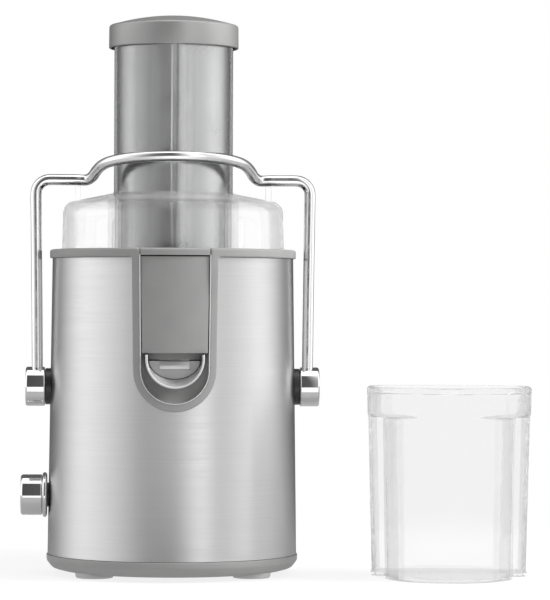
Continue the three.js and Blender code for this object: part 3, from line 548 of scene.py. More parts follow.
PERFORATED = perforated()
CIRCUIT = circuit_green()

SLOT_LOOKS = {
    "brushed_steel": STEEL,
    "grey_plastic": GREY,
    "dark_plastic": BLACK,
    "foot_rubber": PALE_RUBBER,
    "fastener_steel": GROUND,
    "motor_steel": ZINC,
    "copper": COPPER,
    "carbon": CARBON,
    "circuit_board": CIRCUIT,
    "silver_plastic": SILVER,
    "clear_plastic": CLEAR,
    "sieve_steel": GROUND,
    "chrome": CHROME,
}


def dress(obj, body, slot, look, *nodes):
    """Gives a new piece its material and body, and hides the CAD nodes that it stands for; the slot argument is
    not used.
    """
    obj.data.materials.clear()
    obj.data.materials.append(look)
    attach(obj, body)
    if nodes:
        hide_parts(*nodes)
    return obj


# ------------------------------------------------------------------ the front channel


def channel_half(widths, z):
    share = max((z - ARC_Z) / (CHANNEL_TOP - ARC_Z), 0.0)
    return lerp(widths[1], widths[0], share)


def on_cone(x, z, radius):
    """The point at that x and height on the body's front, at the given radius."""
    return (x, -math.sqrt(max(radius * radius - x * x, 0.0)), z)


def brushed_sleeve():
    """The steel wall, cut away at the front under the channel's frame."""
    tuck = 1.2  # how far the frame laps over the steel
    widths = (OUTER[0] - tuck, OUTER[1] - tuck)
    low_levels = [lerp(SLEEVE_Z0, ARC_Z, i / 12) for i in range(13)]
    high_levels = [lerp(ARC_Z, SLEEVE_Z1, i / 8) for i in range(1, 9)]
    levels = low_levels + high_levels
    verts = []
    columns = 150
    for j in range(columns + 1):
        for z in levels:
            radius = sleeve_radius(z)
            start = math.asin(channel_half(widths, z) / radius)
            angle = lerp(start, TAU - start, j / columns)
            verts.append((radius * math.sin(angle), -radius * math.cos(angle), z))
    faces = grid_faces(columns + 1, len(levels))
    base = len(verts)
    arc_columns = 28
    for j in range(arc_columns + 1):
        turn = lerp(-math.pi / 2, math.pi / 2, j / arc_columns)
        x = widths[1] * math.sin(turn)
        top = ARC_Z - widths[1] * math.cos(turn)
        for i in range(len(low_levels)):
            z = lerp(SLEEVE_Z0, top, i / (len(low_levels) - 1))
            verts.append(on_cone(x, z, sleeve_radius(z)))
    faces += [tuple(base + k for k in face) for face in grid_faces(arc_columns + 1, len(low_levels))]
    sleeve = make("brushed_sleeve", verts, faces, AXIS, 60)
    outward = sleeve.data.polygons[0]
    if outward.normal.dot(Vector((outward.center.x - AXIS[0] * MM, outward.center.y - AXIS[1] * MM, 0))) < 0:
        sleeve.data.flip_normals()
    apply_modifier(sleeve, "SOLIDIFY", thickness=1.1 * MM, offset=-1.0)
    tidy_mesh(sleeve, 50)
    return dress(sleeve, "base", "brushed_steel", STEEL, "steel_sleeve")


def arm_proud(z):
    """How far the channel's frame stands out from the steel: flush with the top ring at its top."""
    return 0.8 + (RING_R - SLEEVE_R1 - 0.8) * smooth(196, 226, z)


def face_radius(z):
    return RING_R if z >= RING_Z0 else sleeve_radius(z) + arm_proud(z)


def collar_path(widths, ring_z, corner):
    """One edge of the collar's face, round the ring and down the U, as (angle, height) points."""
    ring_steps, side_steps, arc_steps, corner_steps = 64, 26, 56, 5
    half = channel_half(widths, ring_z)
    radius = face_radius(ring_z)
    corner_angle = math.asin(half / radius)
    gap = corner / radius
    left = [(-lerp(math.pi, corner_angle + gap, i / ring_steps), ring_z) for i in range(ring_steps + 1)]
    for i in range(1, corner_steps):
        a = math.pi / 2 * i / corner_steps
        left.append((-(corner_angle + gap * (1 - math.sin(a))), ring_z - corner * (1 - math.cos(a))))
    for i in range(side_steps):
        z = lerp(ring_z - corner, ARC_Z, i / side_steps)
        left.append((-math.asin(channel_half(widths, z) / face_radius(z)), z))
    for i in range(arc_steps // 2 + 1):
        a = math.pi / 2 * i / (arc_steps // 2)
        x, z = -widths[1] * math.cos(a), ARC_Z - widths[1] * math.sin(a)
        left.append((math.asin(x / face_radius(z)), z))
    right = [(-angle, z) for angle, z in left[-2::-1]]
    return left + right


def trim_collar():
    """Top ring and U-shaped frame as one moulding, with its pocket walls."""
    outer = collar_path(OUTER, RING_Z0, 2.0)
    inner = collar_path(INNER, RING_Z1, 1.6)
    count = len(outer)
    rows = []

    def point(angle, z, radius):
        return (radius * math.sin(angle), -radius * math.cos(angle), z)

    def across(i, amount_from_outer=None, amount_from_inner=None, sink=0.0):
        (a0, z0), (a1, z1) = outer[i], inner[i]
        flat = Vector(((a1 - a0) * RING_R, z1 - z0))
        span = max(flat.length, 1e-6)
        share = amount_from_outer / span if amount_from_inner is None else 1 - amount_from_inner / span
        a, z = lerp(a0, a1, share), lerp(z0, z1, share)
        return point(a, z, face_radius(z) - sink if z < RING_Z0 else RING_R - sink)

    rows.append([across(i, amount_from_outer=0.0, sink=2.2) for i in range(count)])
    bevel = 0.8
    for depth, inset in ((bevel, 0.0), (bevel * 0.29, bevel * 0.29), (0.0, bevel)):
        rows.append([across(i, amount_from_outer=inset, sink=depth) for i in range(count)])
    for k in range(1, 4):
        row = []
        for i in range(count):
            low = Vector(across(i, amount_from_outer=bevel))
            high = Vector(across(i, amount_from_inner=edge_round(inner[i])))
            mid = low.lerp(high, k / 4)
            z = mid.z
            radius = face_radius(z) if z < RING_Z0 else RING_R
            angle = math.atan2(mid.x, -mid.y)
            row.append(point(angle, z, radius))
        rows.append(row)
    for k in range(6):
        turn = math.pi / 2 * k / 5
        rows.append([
            across(
                i,
                amount_from_inner=edge_round(inner[i]) * (1 - math.sin(turn)),
                sink=edge_round(inner[i]) * (1 - math.cos(turn)),
            )
            for i in range(count)
        ])
    depth_rows = 12
    for k in range(1, depth_rows + 1):
        rows.append([inward(edge, edge_round(edge), k / depth_rows) for edge in inner])
    verts = [p for row in rows for p in row]
    collar = make("trim_collar", verts, grid_faces(len(rows), count, wrap_cols=True), AXIS, 50)
    return dress(collar, "base", "grey_plastic", GREY, "top_collar")


def edge_highlight_bead():
    """A pale glossy bead that runs round the inner edge of the U: a painted highlight, lighter than the grey
    frame, standing in for the light caught on the edge's rounding.
    """
    path = []
    for angle, z in collar_path(INNER, RING_Z1, 1.6):
        if z < RING_Z1 - 2:
            radius = face_radius(z) - 0.15
            path.append((radius * math.sin(angle), -radius * math.cos(angle), z))
    bead = rod("edge_highlight_bead", path, 0.42, 10)
    # painted highlight: the bead's pale gloss stands in for the shine along the edge
    return dress(bead, "base", "grey_plastic", SPOUT_LOOK)


def edge_round(edge):
    """Radius of the face's upper or inner edge: soft on the ring, crisper round the U."""
    on_ring = smooth(RING_Z0 - 6, RING_Z0 + 2, edge[1])
    return lerp(1.15, 2.0, on_ring)


def inward(edge, round_off, share):
    """A point on the wall behind the inner edge, from the face to the pocket's back or the ring's bore."""
    angle, z = edge
    radius = face_radius(z) if z < RING_Z0 else RING_R
    start = Vector((math.sin(angle), -math.cos(angle))) * (radius - round_off)
    x = start.x
    if z > RING_Z1 - 0.2:
        flat = 0.6
        if share <= flat:
            r = lerp(radius - round_off, RING_IN, share / flat)
            return (r * math.sin(angle), -r * math.cos(angle), z)
        drop = (share - flat) / (1 - flat) * 5
        return (RING_IN * math.sin(angle), -RING_IN * math.cos(angle), z - drop)
    wall_y = lerp(start.y, -math.sqrt(max(BOWL_ROOM**2 - x * x, 0)), share)
    toward = Vector((0, ARC_Z)) - Vector((x, min(z, ARC_Z)))
    t = share * spout_reach(x, z, toward)
    scoop_x, scoop_z = x + toward.x * t, z + toward.y * t
    dip = SCOOP_DEPTH * math.sqrt(1 - (1 - t) ** 2)
    scoop_y = -math.sqrt(max((radius - round_off) ** 2 - scoop_x**2, 0)) + dip
    behind_panel = smooth(160, 168, z)
    scoop, wall = (scoop_x, scoop_y, scoop_z), (x, wall_y, z)
    return tuple(lerp(a, b, behind_panel) for a, b in zip(scoop, wall))


def spout_reach(x, z, toward):
    """How far along toward the scoop runs before it is inside the spout's outline."""
    for k in range(101):
        t = k / 100
        across, up = x + toward.x * t, z + toward.y * t
        drop = max(157.0 - up, 0.0) / 17.6
        if (across / 20.2) ** 2 + drop * drop <= 1:
            return t
    return 1.0


def curved_panel(name, half_low, half_high, z0, z1, face, thick, top_round=0.0, edge=0.4):
    """A plate on the body's round front, bevelled round its edges."""
    columns, rows = 28, 18
    outline = []
    for i in range(rows + 1):
        z = lerp(z0, z1, i / rows)
        outline.append((z, 0.0))
    if top_round:
        outline = [(z, 0.0) for z, _ in outline if z < z1 - top_round]
        for k in range(7):
            a = math.pi / 2 * k / 6
            outline.append((z1 - top_round * (1 - math.sin(a)), top_round * (1 - math.cos(a))))
    levels = len(outline)
    verts = []
    for z, sink in outline:
        half = lerp(half_low, half_high, (z - z0) / (z1 - z0))
        for j in range(columns + 1):
            verts.append(on_cone(lerp(-half, half, j / columns), z, face(z) - sink))
    for z, sink in outline:
        half = lerp(half_low, half_high, (z - z0) / (z1 - z0))
        for j in range(columns + 1):
            verts.append(on_cone(lerp(-half, half, j / columns), z, face(z) - max(thick, sink + 0.5)))
    cols = columns + 1
    shift = levels * cols
    faces = grid_faces(levels, cols)
    faces += [tuple(shift + k for k in reversed(f)) for f in grid_faces(levels, cols)]
    for j in range(columns):
        faces.append((j, j + 1, shift + j + 1, shift + j))
        top = (levels - 1) * cols + j
        faces.append((top, top + 1, shift + top + 1, shift + top))
    for i in range(levels - 1):
        a, b = i * cols, (i + 1) * cols
        faces.append((a, b, shift + b, shift + a))
        faces.append((a + columns, b + columns, shift + b + columns, shift + a + columns))
    panel = make(name, verts, faces, AXIS)
    return bevelled(panel, edge, 3, 50)


def spout_panel():
    low, high = node_box("spout_cover")
    panel = curved_panel(
        "spout_panel", 23.2, 24.3, low[2], high[2] - 0.1, lambda z: sleeve_radius(z) + 0.55, 2.0
    )
    for side in (-1, 1):
        rib = cuboid("rib", side * 18.0, side * 19.6, -86.2, -80, low[2] + 4, high[2] - 4)
        joined(panel, rib)
    return dress(panel, "base", "grey_plastic", GREY, "spout_cover")


# ------------------------------------------------------------------ bowl and spout


def juice_bowl():
    """The bowl under the basket, its front tab and the window that lets the juice out."""
    profile = rounded([
        (21.5, 138, 1), (77.5, 138, 4), (79, 230, 0.6), (81, 230, 0.3), (81, 233.4, 0.8), (76.9, 233.4, 0.8),
        (75.3, 142.5, 5), (24, 140.2, 3), (24, 156, 0.8), (21.5, 156, 0.8),
    ])
    bowl = turned("juice_bowl_shell", profile, 128)
    window = window_block()
    carve(bowl, window)
    tab = curved_panel("tab", 24.5, 24.7, RING_Z0 + 1.2, RING_Z1, lambda z: RING_R - 0.15, 9.0, 2.0, 0.35)
    joined(bowl, tab)
    return dress(bowl, "base", "grey_plastic", GREY, "juice_bowl")


def window_block():
    """A U-shaped cutter for the juice window."""
    half, floor, top = 18.2, 141.8, 156.4
    outline = [(half, top), (-half, top)]
    steps = 20
    for i in range(steps + 1):
        a = math.pi + math.pi * i / steps
        outline.append((half * math.cos(a), 156 + (156 - floor) * math.sin(a)))
    verts = [(x, y, z) for y in (-95, -60) for x, z in outline]
    count = len(outline)
    faces = grid_faces(2, count, wrap_cols=True)
    faces += [tuple(range(count)), tuple(range(count, 2 * count))]
    return make("window", verts, faces, AXIS)


def trough_row(half, floor, y, top=160.0, centre_z=157.0):
    """One U section of the spout, from its left rim round to its right rim."""
    points = [(-half, y, lerp(top, centre_z, k / 3)) for k in range(3)]
    steps = 36
    for i in range(steps + 1):
        a = math.pi + math.pi * i / steps
        points.append((half * math.cos(a), y, centre_z + (centre_z - floor) * math.sin(a)))
    points += [(half, y, lerp(centre_z, top, k / 3)) for k in range(1, 4)]
    return points


def juice_spout():
    """The open trough: its floor slopes down to a thin rolled lip."""
    rows = [trough_row(20.9, 139.9, -78.6), trough_row(20.9, 138.4, -86), trough_row(20.9, 136.3, -92.6)]
    lip = 0.95
    for k in range(1, 10):
        a = math.pi * k / 10
        shrink = lip * (1 - math.cos(a))
        rows.append(trough_row(20.9 - shrink, 136.0 + shrink, -93.2 - 1.7 * math.sin(a)))
    rows += [trough_row(19.1, 138.0, -92.4), trough_row(19.1, 139.6, -87.5), trough_row(19.0, 142.0, -80.4)]
    rows += [trough_row(18.9, 142.35, -79.4), trough_row(18.9, 142.2, -78.7)]
    verts = [p for row in rows for p in row]
    spout = make("juice_spout_trough", verts, grid_faces(len(rows), len(rows[0]), wrap_rows=True), AXIS, 50)
    joined(spout, splash_plate())
    return dress(spout, "base", "silver_plastic", SPOUT_LOOK, "juice_spout")


def splash_plate():
    """The low wall behind the trough, with a raised block in its middle, and the ledge behind it."""
    face_y, top = -77.6, 155.6
    outline = [(18.5, top, 0.6), (-18.5, top, 0.6)]
    steps = 28
    for i in range(1, steps):
        a = math.pi + math.pi * i / steps
        outline.append((18.5 * math.cos(a), 156 + (156 - 142.6) * math.sin(a)))
    outline = rounded(outline, 3)
    count = len(outline)
    layers = ((-76.2, 1), (face_y + 0.5, 1), (face_y, 0.97))
    verts = [(x * scale, y, lerp(150, z, scale)) for y, scale in layers for x, z in outline]
    faces = grid_faces(3, count, wrap_cols=True) + [tuple(range(count)), tuple(range(2 * count, 3 * count))]
    plate = make("splash_plate", verts, faces, AXIS, 50)
    block = bevelled(cuboid("splash_block", -10.9, 10.9, face_y - 1.0, face_y + 1, 149.4, top - 0.3), 0.45, 3)
    ledge = bevelled(cuboid("ledge", -10.9, 10.9, -73.5, -71, 150, 162), 0.4, 2)
    return joined(plate, block, ledge)


# ------------------------------------------------------------------ base and feet


def base_pan():
    profile = rounded([
        (0, 3.0), (81.0, 3.0, 3), (87.2, 4.6, 5), (91.2, 9.6, 4), (91.4, 14.2, 0.8), (83.2, 14.2, 0.6),
        (83.2, 7, 2), (0, 7),
    ])
    pan = turned("base_pan_shell", profile)
    for i in range(8):
        x = (i - 3.5) * 7
        slot = cuboid("slot", x - 1.6, x + 1.6, -22, 22, 3, 9)
        carve(pan, bevelled(slot, 1.2, 3))
    for corner in ("front_left", "front_right", "rear_left", "rear_right"):
        x, y, _ = middle(f"foot_{corner}")
        carve(pan, turned("foot_room", [(0, 2), (14.4, 2), (14.4, 4.6), (0, 4.6)], 64, (x, y), closed=False))
    ring = 77
    for k in range(4):
        a = math.radians(45 + 90 * k)
        centre = (AXIS[0] + ring * math.cos(a), AXIS[1] + ring * math.sin(a))
        hole = turned("hole", [(0, 2), (3.9, 2), (3.9, 7.6), (0, 7.6)], 40, centre, closed=False)
        carve(pan, hole)
    return dress(pan, "base", "grey_plastic", GREY, "base_pan")


def feet_and_screws():
    for corner in ("front_left", "front_right", "rear_left", "rear_right"):
        x, y, _ = middle(f"foot_{corner}")
        profile = rounded([
            (0, 0.6), (9, 0.6, 0.3), (9.6, 0, 0.3), (12.8, 0, 0.6), (13.6, 1.2, 1), (14, 4.2), (0, 4.2),
        ])
        foot = turned(f"pad_{corner}", profile, 72, (x, y))
        dress(foot, "base", "foot_rubber", PALE_RUBBER, f"foot_{corner}")
        x, y, _ = middle(f"base_screw_{corner}")
        head = rounded([
            (0, 5.2), (2.6, 5.2, 0.8), (3.4, 6.4, 0.6), (3.4, 8.4, 0.3), (1.9, 8.4), (1.9, 28), (0, 28),
        ])
        screw = turned(f"screw_{corner}", head, 40, (x, y))
        for along in (0, 1):
            long, short = (2.1, 0.35) if along else (0.35, 2.1)
            carve(screw, cuboid("cross", -long, long, -short, short, 4, 6.6, (x, y)))
        dress(screw, "base", "fastener_steel", GROUND, f"base_screw_{corner}")


# ------------------------------------------------------------------ lid, tube and pusher


def clear_lid():
    """Dome, posts and rear chute as one clear moulding."""
    wall = 2.0
    outside = rounded([
        (0, 233.8), (80.8, 233.8, 0.5), (79.9, 268.8, 8.5), (43.7, 276.2, 0.4), (43.7, 277.2), (0, 277.2),
    ], 12)
    dome = turned("clear_lid_shell", outside, 144)
    chute = rounded_box("chute", -45, 45, 20, 150, 235.4, 262, 6)
    carve(dome, chute, "UNION")
    for side in (-1, 1):
        carve(dome, lid_post(side), "UNION")
    inside = rounded([
        (0, 230), (80.9 - wall, 230), (79.9 - wall, 267.1, 6.5), (43.7, 274.15), (43.65, 280), (0, 280),
    ], 12)
    carve(dome, turned("room", inside, 144))
    carve(dome, rounded_box("chute_room", -43, 43, 52, 148, 237.4, 260, 4))
    carve(dome, rounded_box("outlet", -43, 43, 97, 148, 225, 245, 4), sharp=30)
    return dress(dome, "lid", "clear_plastic", CLEAR, "clear_lid")


def rounded_box(name, x0, x1, y0, y1, z0, z1, radius):
    """A box with its upright corners and its edges rounded."""
    box = cuboid(name, x0, x1, y0, y1, z0, z1)
    return bevelled(box, radius, 5, 50)


def lid_post(side):
    """The clear post under one shoulder of the bail."""
    x0, x1 = sorted((side * 67.5, side * 71.5))
    outline = [(-5, 269.8), (5, 269.8), (5, 281.5), (0, 281.5), (-5, 278.5)]
    verts = [(x, y, z) for x in (x0, x1) for y, z in outline]
    faces = grid_faces(2, 5, wrap_cols=True) + [tuple(range(5)), tuple(range(5, 10))]
    return bevelled(make("post", verts, faces, AXIS), 0.7, 3, 30)


def feed_tube():
    low, high = node_box("feed_tube")
    r_out = (high[0] - low[0]) / 2
    r_in = r_out - 1.8
    profile = rounded([
        (r_in, low[2], 0.5), (r_out - 0.6, low[2], 0.5), (r_out - 0.6, 274, 0.2), (r_out, 274.3, 0.2),
        (r_out, high[2], 0.7), (r_in, high[2], 0.7),
    ], 4)
    tube = turned("feed_tube_shell", profile)
    return dress(tube, "lid", "clear_plastic", TUBE_CLEAR, "feed_tube")


def pusher_body():
    """The pusher, with the keyway down its front."""
    low, high = node_box("pusher_body")
    bottom, top = low[2], high[2]
    slope = 0.7 / (top - bottom)
    profile = rounded([
        (0, bottom), (40.4, bottom, 2), (40.4 + 60 * slope, bottom + 60), (41.1 - 60 * slope, top - 60),
        (41.1, 392.2), (44, 392.4, 0.3), (44, top, 0.5), (39.1, top, 0.3), (38.4, 171.5, 3), (0, 171.5),
    ], 4)
    half, deep = 1.7 / 40.7, 1.5  # the keyway: half its width as an angle, and its depth
    side = [(half * 0.86, deep), (half * 0.93, 0.12), (half, 0)]
    stations = [(-a, groove) for a, groove in reversed(side)] + side
    plain = 180
    stations += [(lerp(half, TAU - half, k / plain), 0) for k in range(1, plain)]
    verts = []
    for a, groove in stations:
        for r, z in profile:
            r_here = r - groove if (r > 39.3 and z < 391) else r
            verts.append((r_here * math.sin(a), -r_here * math.cos(a), z))
    faces = grid_faces(len(stations), len(profile), wrap_rows=True, wrap_cols=True)
    body = make("pusher_shell", verts, faces, AXIS, 30)
    return dress(body, "pusher", "silver_plastic", PUSHER_PAINTED_REFLECTION_SILVER, "pusher_body")


def pusher_cap():
    low, high = node_box("pusher_cap")
    radius = (high[0] - low[0]) / 2
    rim, crown = 398.8, 6.9
    steps = [k / 14 for k in range(13, -1, -1)]
    dome = [((radius - 3.4) * share, rim + crown * (1 - share**2 * 0.93)) for share in steps]
    profile = rounded([
        (0, 395.6), (36, 395.6), (36, 388, 0.4), (38.6, 388, 0.4), (38.6, 395.6), (radius - 1.8, 395.6),
        (radius - 1.8, low[2], 0.4), (radius, low[2], 0.7), (radius - 0.2, rim - 0.3, 2.0), *dome,
    ], 6)
    cap = turned("pusher_cap_shell", profile)
    return dress(cap, "pusher", "grey_plastic", CAP_GREY, "pusher_cap")


# ------------------------------------------------------------------ bail and selector


def bail():
    """Chrome rod, its two hubs and the black spacers behind them."""
    arm = [(98.4, 0, 140.6), (99.1, 0, 210), (99.8, 0, 262)]
    bend = 10
    corner = []
    for k in range(7):
        a = math.pi / 2 * k / 6
        corner.append((99.9 - bend + bend * math.cos(a), 0, 286 - bend + bend * math.sin(a)))
    over = [
        (80, 0, 286), (72, 0, 286), (63, -0.4, 286), (59, -4.5, 288.2), (56, -13, 292), (51.8, -24, 295.6),
        (45.4, -33.5, 298), (34, -43, 299.8), (18, -49.6, 300.8),
    ]
    half = arm + corner + over
    path = spline(half + [(0, -52, 301.2)] + [(-x, y, z) for x, y, z in reversed(half)], 9)
    rod_piece = rod("bail_bar", path, 4.0)
    dress(rod_piece, "bail", "chrome", BAIL_CHROME, "bail_rod")
    for name, side in (("right", 1), ("left", -1)):
        profile = rounded([
            (92.9 * side, 0), (92.9 * side, 13.6, 0.3), (93.5 * side, 14.2, 0.4), (105.9 * side, 14.2, 0.9),
            (106.8 * side, 13.2, 0.9), (106.8 * side, 0),
        ], 5)
        hub = turned_x(f"hub_{name}", profile, PIVOT_Z)
        dress(hub, "bail", "chrome", CHROME, f"bail_hub_{name}")
        ring = rounded([
            (88.3 * side, 4.2), (88.3 * side, 13.2), (92.2 * side, 13.2, 0.5), (92.6 * side, 12.6, 0.3),
            (92.6 * side, 4.2),
        ], 4)
        spacer = turned_x(f"spacer_{name}", ring, PIVOT_Z)
        dress(spacer, "base", "dark_plastic", BLACK, f"pivot_spacer_{name}")


def selector():
    knob = rounded([
        (-94.6, 0), (-94.6, 14.1, 0.3), (-95.2, 14.7, 0.5), (-108.9, 14.7, 1.2), (-110.1, 13.6, 1.0),
        (-110.1, 11.8, 0.4), (-109.6, 11.4, 0.3), (-109.6, 0),
    ], 5)
    dress(turned_x("knob_body", knob, KNOB_Z), "knob", "chrome", CHROME, "selector_knob")
    flange = rounded([
        (-91.1, 3.3), (-91.1, 15.2, 0.8), (-92.0, 16.3, 0.9), (-93.4, 16.3, 0.9), (-94.3, 15.2, 0.8),
        (-94.3, 3.3),
    ], 6)
    dress(turned_x("knob_flange", flange, KNOB_Z), "knob", "chrome", CHROME, "selector_flange")
    outline = rounded([(x, r, 0.3) for x, r in ((-86.2, 3.4), (-86.2, 8.8), (-90.8, 8.8), (-90.8, 3.4))])
    neck = turned_x("knob_neck", outline, KNOB_Z)
    dress(neck, "base", "dark_plastic", BLACK, "selector_neck")


# ------------------------------------------------------------------ basket


def basket():
    base = rounded([
        (0, 155.5), (13.9, 155.5), (13.9, 130, 0.4), (17.5, 130, 0.6), (17.5, 160, 2), (48.5, 160, 1.2),
        (48.5, 165.5, 0.5), (46.9, 165.5, 0.4), (46.9, 163.5), (0, 163.5),
    ], 4)
    dress(turned("basket_floor", base, 128), "rotor", "silver_plastic", SILVER, "basket_base")
    sieve = [(47.5, 166), (48.3, 166), (64.7, 221.5), (63.9, 221.5)]
    dress(turned("sieve_wall", sieve, 144), "rotor", "sieve_steel", PERFORATED, "filter_sieve")
    rim = rounded([(63, 221.9, 0.4), (67.5, 221.9, 1), (69, 223.5, 1), (69, 226.5, 0.8), (63, 226.5, 0.6)], 5)
    dress(turned("basket_lip", rim, 144), "rotor", "silver_plastic", SILVER, "basket_rim")
    disc = turned("grater_plate", [(0, 163.8), (45.5, 163.8), (45.5, 165.4), (0, 165.4)], 128)
    joined(disc, grater_teeth())
    dress(disc, "rotor", "sieve_steel", GROUND, "grater_disc")


def grater_teeth():
    """Rings of small pyramids, each leaning the way that the disc turns."""
    verts, faces = [], []
    for ring, count in ((14, 10), (20, 14), (26, 18), (32, 24), (38, 28), (43, 32)):
        for k in range(count):
            a = TAU * (k + (ring % 4) / 4) / count
            radial, along = Vector((math.cos(a), math.sin(a), 0)), Vector((-math.sin(a), math.cos(a), 0))
            foot = radial * ring
            b = len(verts)
            for r, s in ((-1.1, -0.9), (1.1, -0.9), (1.1, 0.9), (-1.1, 0.9)):
                p = foot + radial * r + along * s
                verts.append((p.x, p.y, 165.3))
            tip = foot + along * 0.7
            verts.append((tip.x, tip.y, 166.6))
            faces += [(b + k, b + (k + 1) % 4, b + 4) for k in range(4)] + [(b + 3, b + 2, b + 1, b)]
    return make("teeth", verts, faces, AXIS, 20)


# ------------------------------------------------------------------ outlines swept up a profile


def offset_outline(points, amount):
    """A closed plan outline moved outward by amount, along its own normals."""
    out = []
    count = len(points)
    for i, (x, y) in enumerate(points):
        ahead, behind = Vector(points[(i + 1) % count]), Vector(points[i - 1])
        along = (ahead - behind).normalized()
        out.append((x + along.y * amount, y - along.x * amount))
    return out


def vessel(name, outline_at, profile, centre, sharp=60):
    """A walled vessel: an outline for each height, moved out by the profile's offset, closed at both ends."""
    rows = [[(x, y, z) for x, y in offset_outline(outline_at(z), amount)] for amount, z in profile]
    count = len(rows[0])
    verts = [p for row in rows for p in row]
    faces = grid_faces(len(rows), count, wrap_cols=True)
    faces.append(tuple(range(count)))
    faces.append(tuple(range((len(rows) - 1) * count, len(rows) * count)))
    return make(name, verts, faces, centre, sharp)


def split_segment(a, b, steps):
    return [(lerp(a[0], b[0], k / steps), lerp(a[1], b[1], k / steps)) for k in range(steps)]


def superellipse(half_width, half_depth, start, end, steps, power):
    """Points from angle start to end of a rounded outline; a higher power is squarer."""
    points = []
    for k in range(steps):
        a = lerp(start, end, k / steps)
        c, s = math.cos(a), math.sin(a)
        bend = lambda v: math.copysign(abs(v) ** (2 / power), v)
        points.append((half_width * bend(c), half_depth * bend(s)))
    return points


JUG_TOP = 137.0
JUG_BASE, JUG_RIM = (53.6, 45.8), (56.9, 48.8)  # half width and half depth, below and at the top
JUG_LIP = {"half": 20.5, "reach": 8.0, "depth": 29.0}
GRIP_LOW, GRIP_HIGH = 114.6, 118.4  # where the finger grips close up to the full outline


def jug_round(z):
    """The jug's full outline, right half from the back round to the front, as matching points."""
    w, d = (lerp(low, high, z / JUG_TOP) for low, high in zip(JUG_BASE, JUG_RIM))
    back = superellipse(w, d, math.pi / 2, 0, 22, 4.0)
    side = superellipse(w, d, 0, -0.22, 10, 2.6)
    front = superellipse(w, d, -0.22, -math.pi / 2, 44, 2.3)
    return back + side + front + [(0.0, -d)]


def jug_gripped(z):
    """The same points where the two front corners are taken in for the fingers."""
    w, d = (lerp(low, high, z / JUG_TOP) for low, high in zip(JUG_BASE, JUG_RIM))
    bulge = lerp(43.5, 45.5, z / 116.6)
    step_y = 14.0
    back = superellipse(w, d, math.pi / 2, 0.0, 22, 4.0)
    keep = [p for p in back if p[1] > step_y + 7]
    extra = 22 - len(keep)
    back = keep + split_segment(keep[-1], (w, step_y + 7), extra + 1)[1:]
    step = [(w, step_y + 7), (w, step_y, 4), (bulge, step_y, 3.5), (bulge, step_y - 7)]
    corner = resample(rounded(step, 5, closed=False), 14)
    straight = split_segment((bulge, step_y - 7), (bulge, -4), 2)
    arc = []
    for k in range(38):
        a = math.pi / 2 * k / 38
        arc.append((bulge * math.cos(a), -4 - (d - 4) * math.sin(a)))
    return back + corner + straight + arc + [(0.0, -d)]


def resample(points, count):
    """The given number of points, evenly spaced along an open polyline, leaving out its end."""
    lengths = [0.0]
    for a, b in zip(points, points[1:]):
        lengths.append(lengths[-1] + (Vector(b) - Vector(a)).length)
    out = []
    for k in range(count):
        want = lengths[-1] * k / count
        i = max(j for j in range(len(lengths)) if lengths[j] <= want + 1e-9)
        i = min(i, len(points) - 2)
        share = (want - lengths[i]) / max(lengths[i + 1] - lengths[i], 1e-9)
        out.append(tuple(lerp(a, b, share) for a, b in zip(points[i], points[i + 1])))
    return out


def jug_outline(z):
    full, gripped = jug_round(z), jug_gripped(min(z, GRIP_HIGH))
    share = smooth(GRIP_LOW, GRIP_HIGH, z)
    half = []
    for (x0, y0), (x1, y1) in zip(gripped, full):
        x, y = lerp(x0, x1, share), lerp(y0, y1, share)
        if y < 0:
            lip = max(0.0, 1 - (x / JUG_LIP["half"]) ** 2)
            rise = max(0.0, (z - (JUG_TOP - JUG_LIP["depth"])) / JUG_LIP["depth"])
            y -= JUG_LIP["reach"] * lip * lip * rise * rise
        half.append((x, y))
    outline = half + [(-x, y) for x, y in reversed(half[1:-1])]
    c, s = math.cos(JUG_TURN), math.sin(JUG_TURN)
    return [(c * x - s * y, s * x + c * y) for x, y in outline]


def juice_jug():
    wall = 2.0
    levels = [8, 20, 35, 50, 65, 80, 95, 106, 112]
    levels += [lerp(GRIP_LOW, GRIP_HIGH, k / 8) for k in range(9)] + [120.5, 124, 128]
    up = [(-2.2, 0.0), (-1.0, 0.3), (-0.3, 1.0), (0.0, 2.2)] + [(0.0, z) for z in levels] + [(0.0, 131.8)]
    bead = [
        (0.2, 132.6), (1.1, 132.9), (1.7, 133.6), (1.8, 134.6),
        (1.8, 135.8), (1.4, 136.6), (0.6, 137), (-0.8, 137),
    ]
    down = [(-1.6, 136.7), (-wall, 135.8), (-wall, 131.8)] + [(-wall, z) for z in reversed(levels)]
    floor = [(-2.0, 5.0), (-2.15, 3.6), (-2.6, 2.8), (-3.2, 2.4)]
    jug = vessel("juice_jug_shell", jug_outline, up + bead + down + floor, JUG_CENTRE)
    return dress(jug, "jug", "clear_plastic", JUG_CLEAR, "juice_jug")


def bin_outline(_):
    """The pulp container's plan: square at the back, hollow at the front round the body."""
    half, front, back, hollow = 70.0, 75.0, 168.0, 93.5
    corner_x = math.sqrt(hollow**2 - front**2)
    points = rounded([
        (corner_x, front, 1.5), (half, front, 5), (half, back, 18), (-half, back, 18), (-half, front, 5),
        (-corner_x, front, 1.5),
    ], 8, closed=False)
    start = math.atan2(front, -corner_x)
    steps = 36
    for k in range(1, steps):
        a = lerp(start, math.pi - start, k / steps)
        points.append((hollow * math.cos(a), hollow * math.sin(a)))
    return points


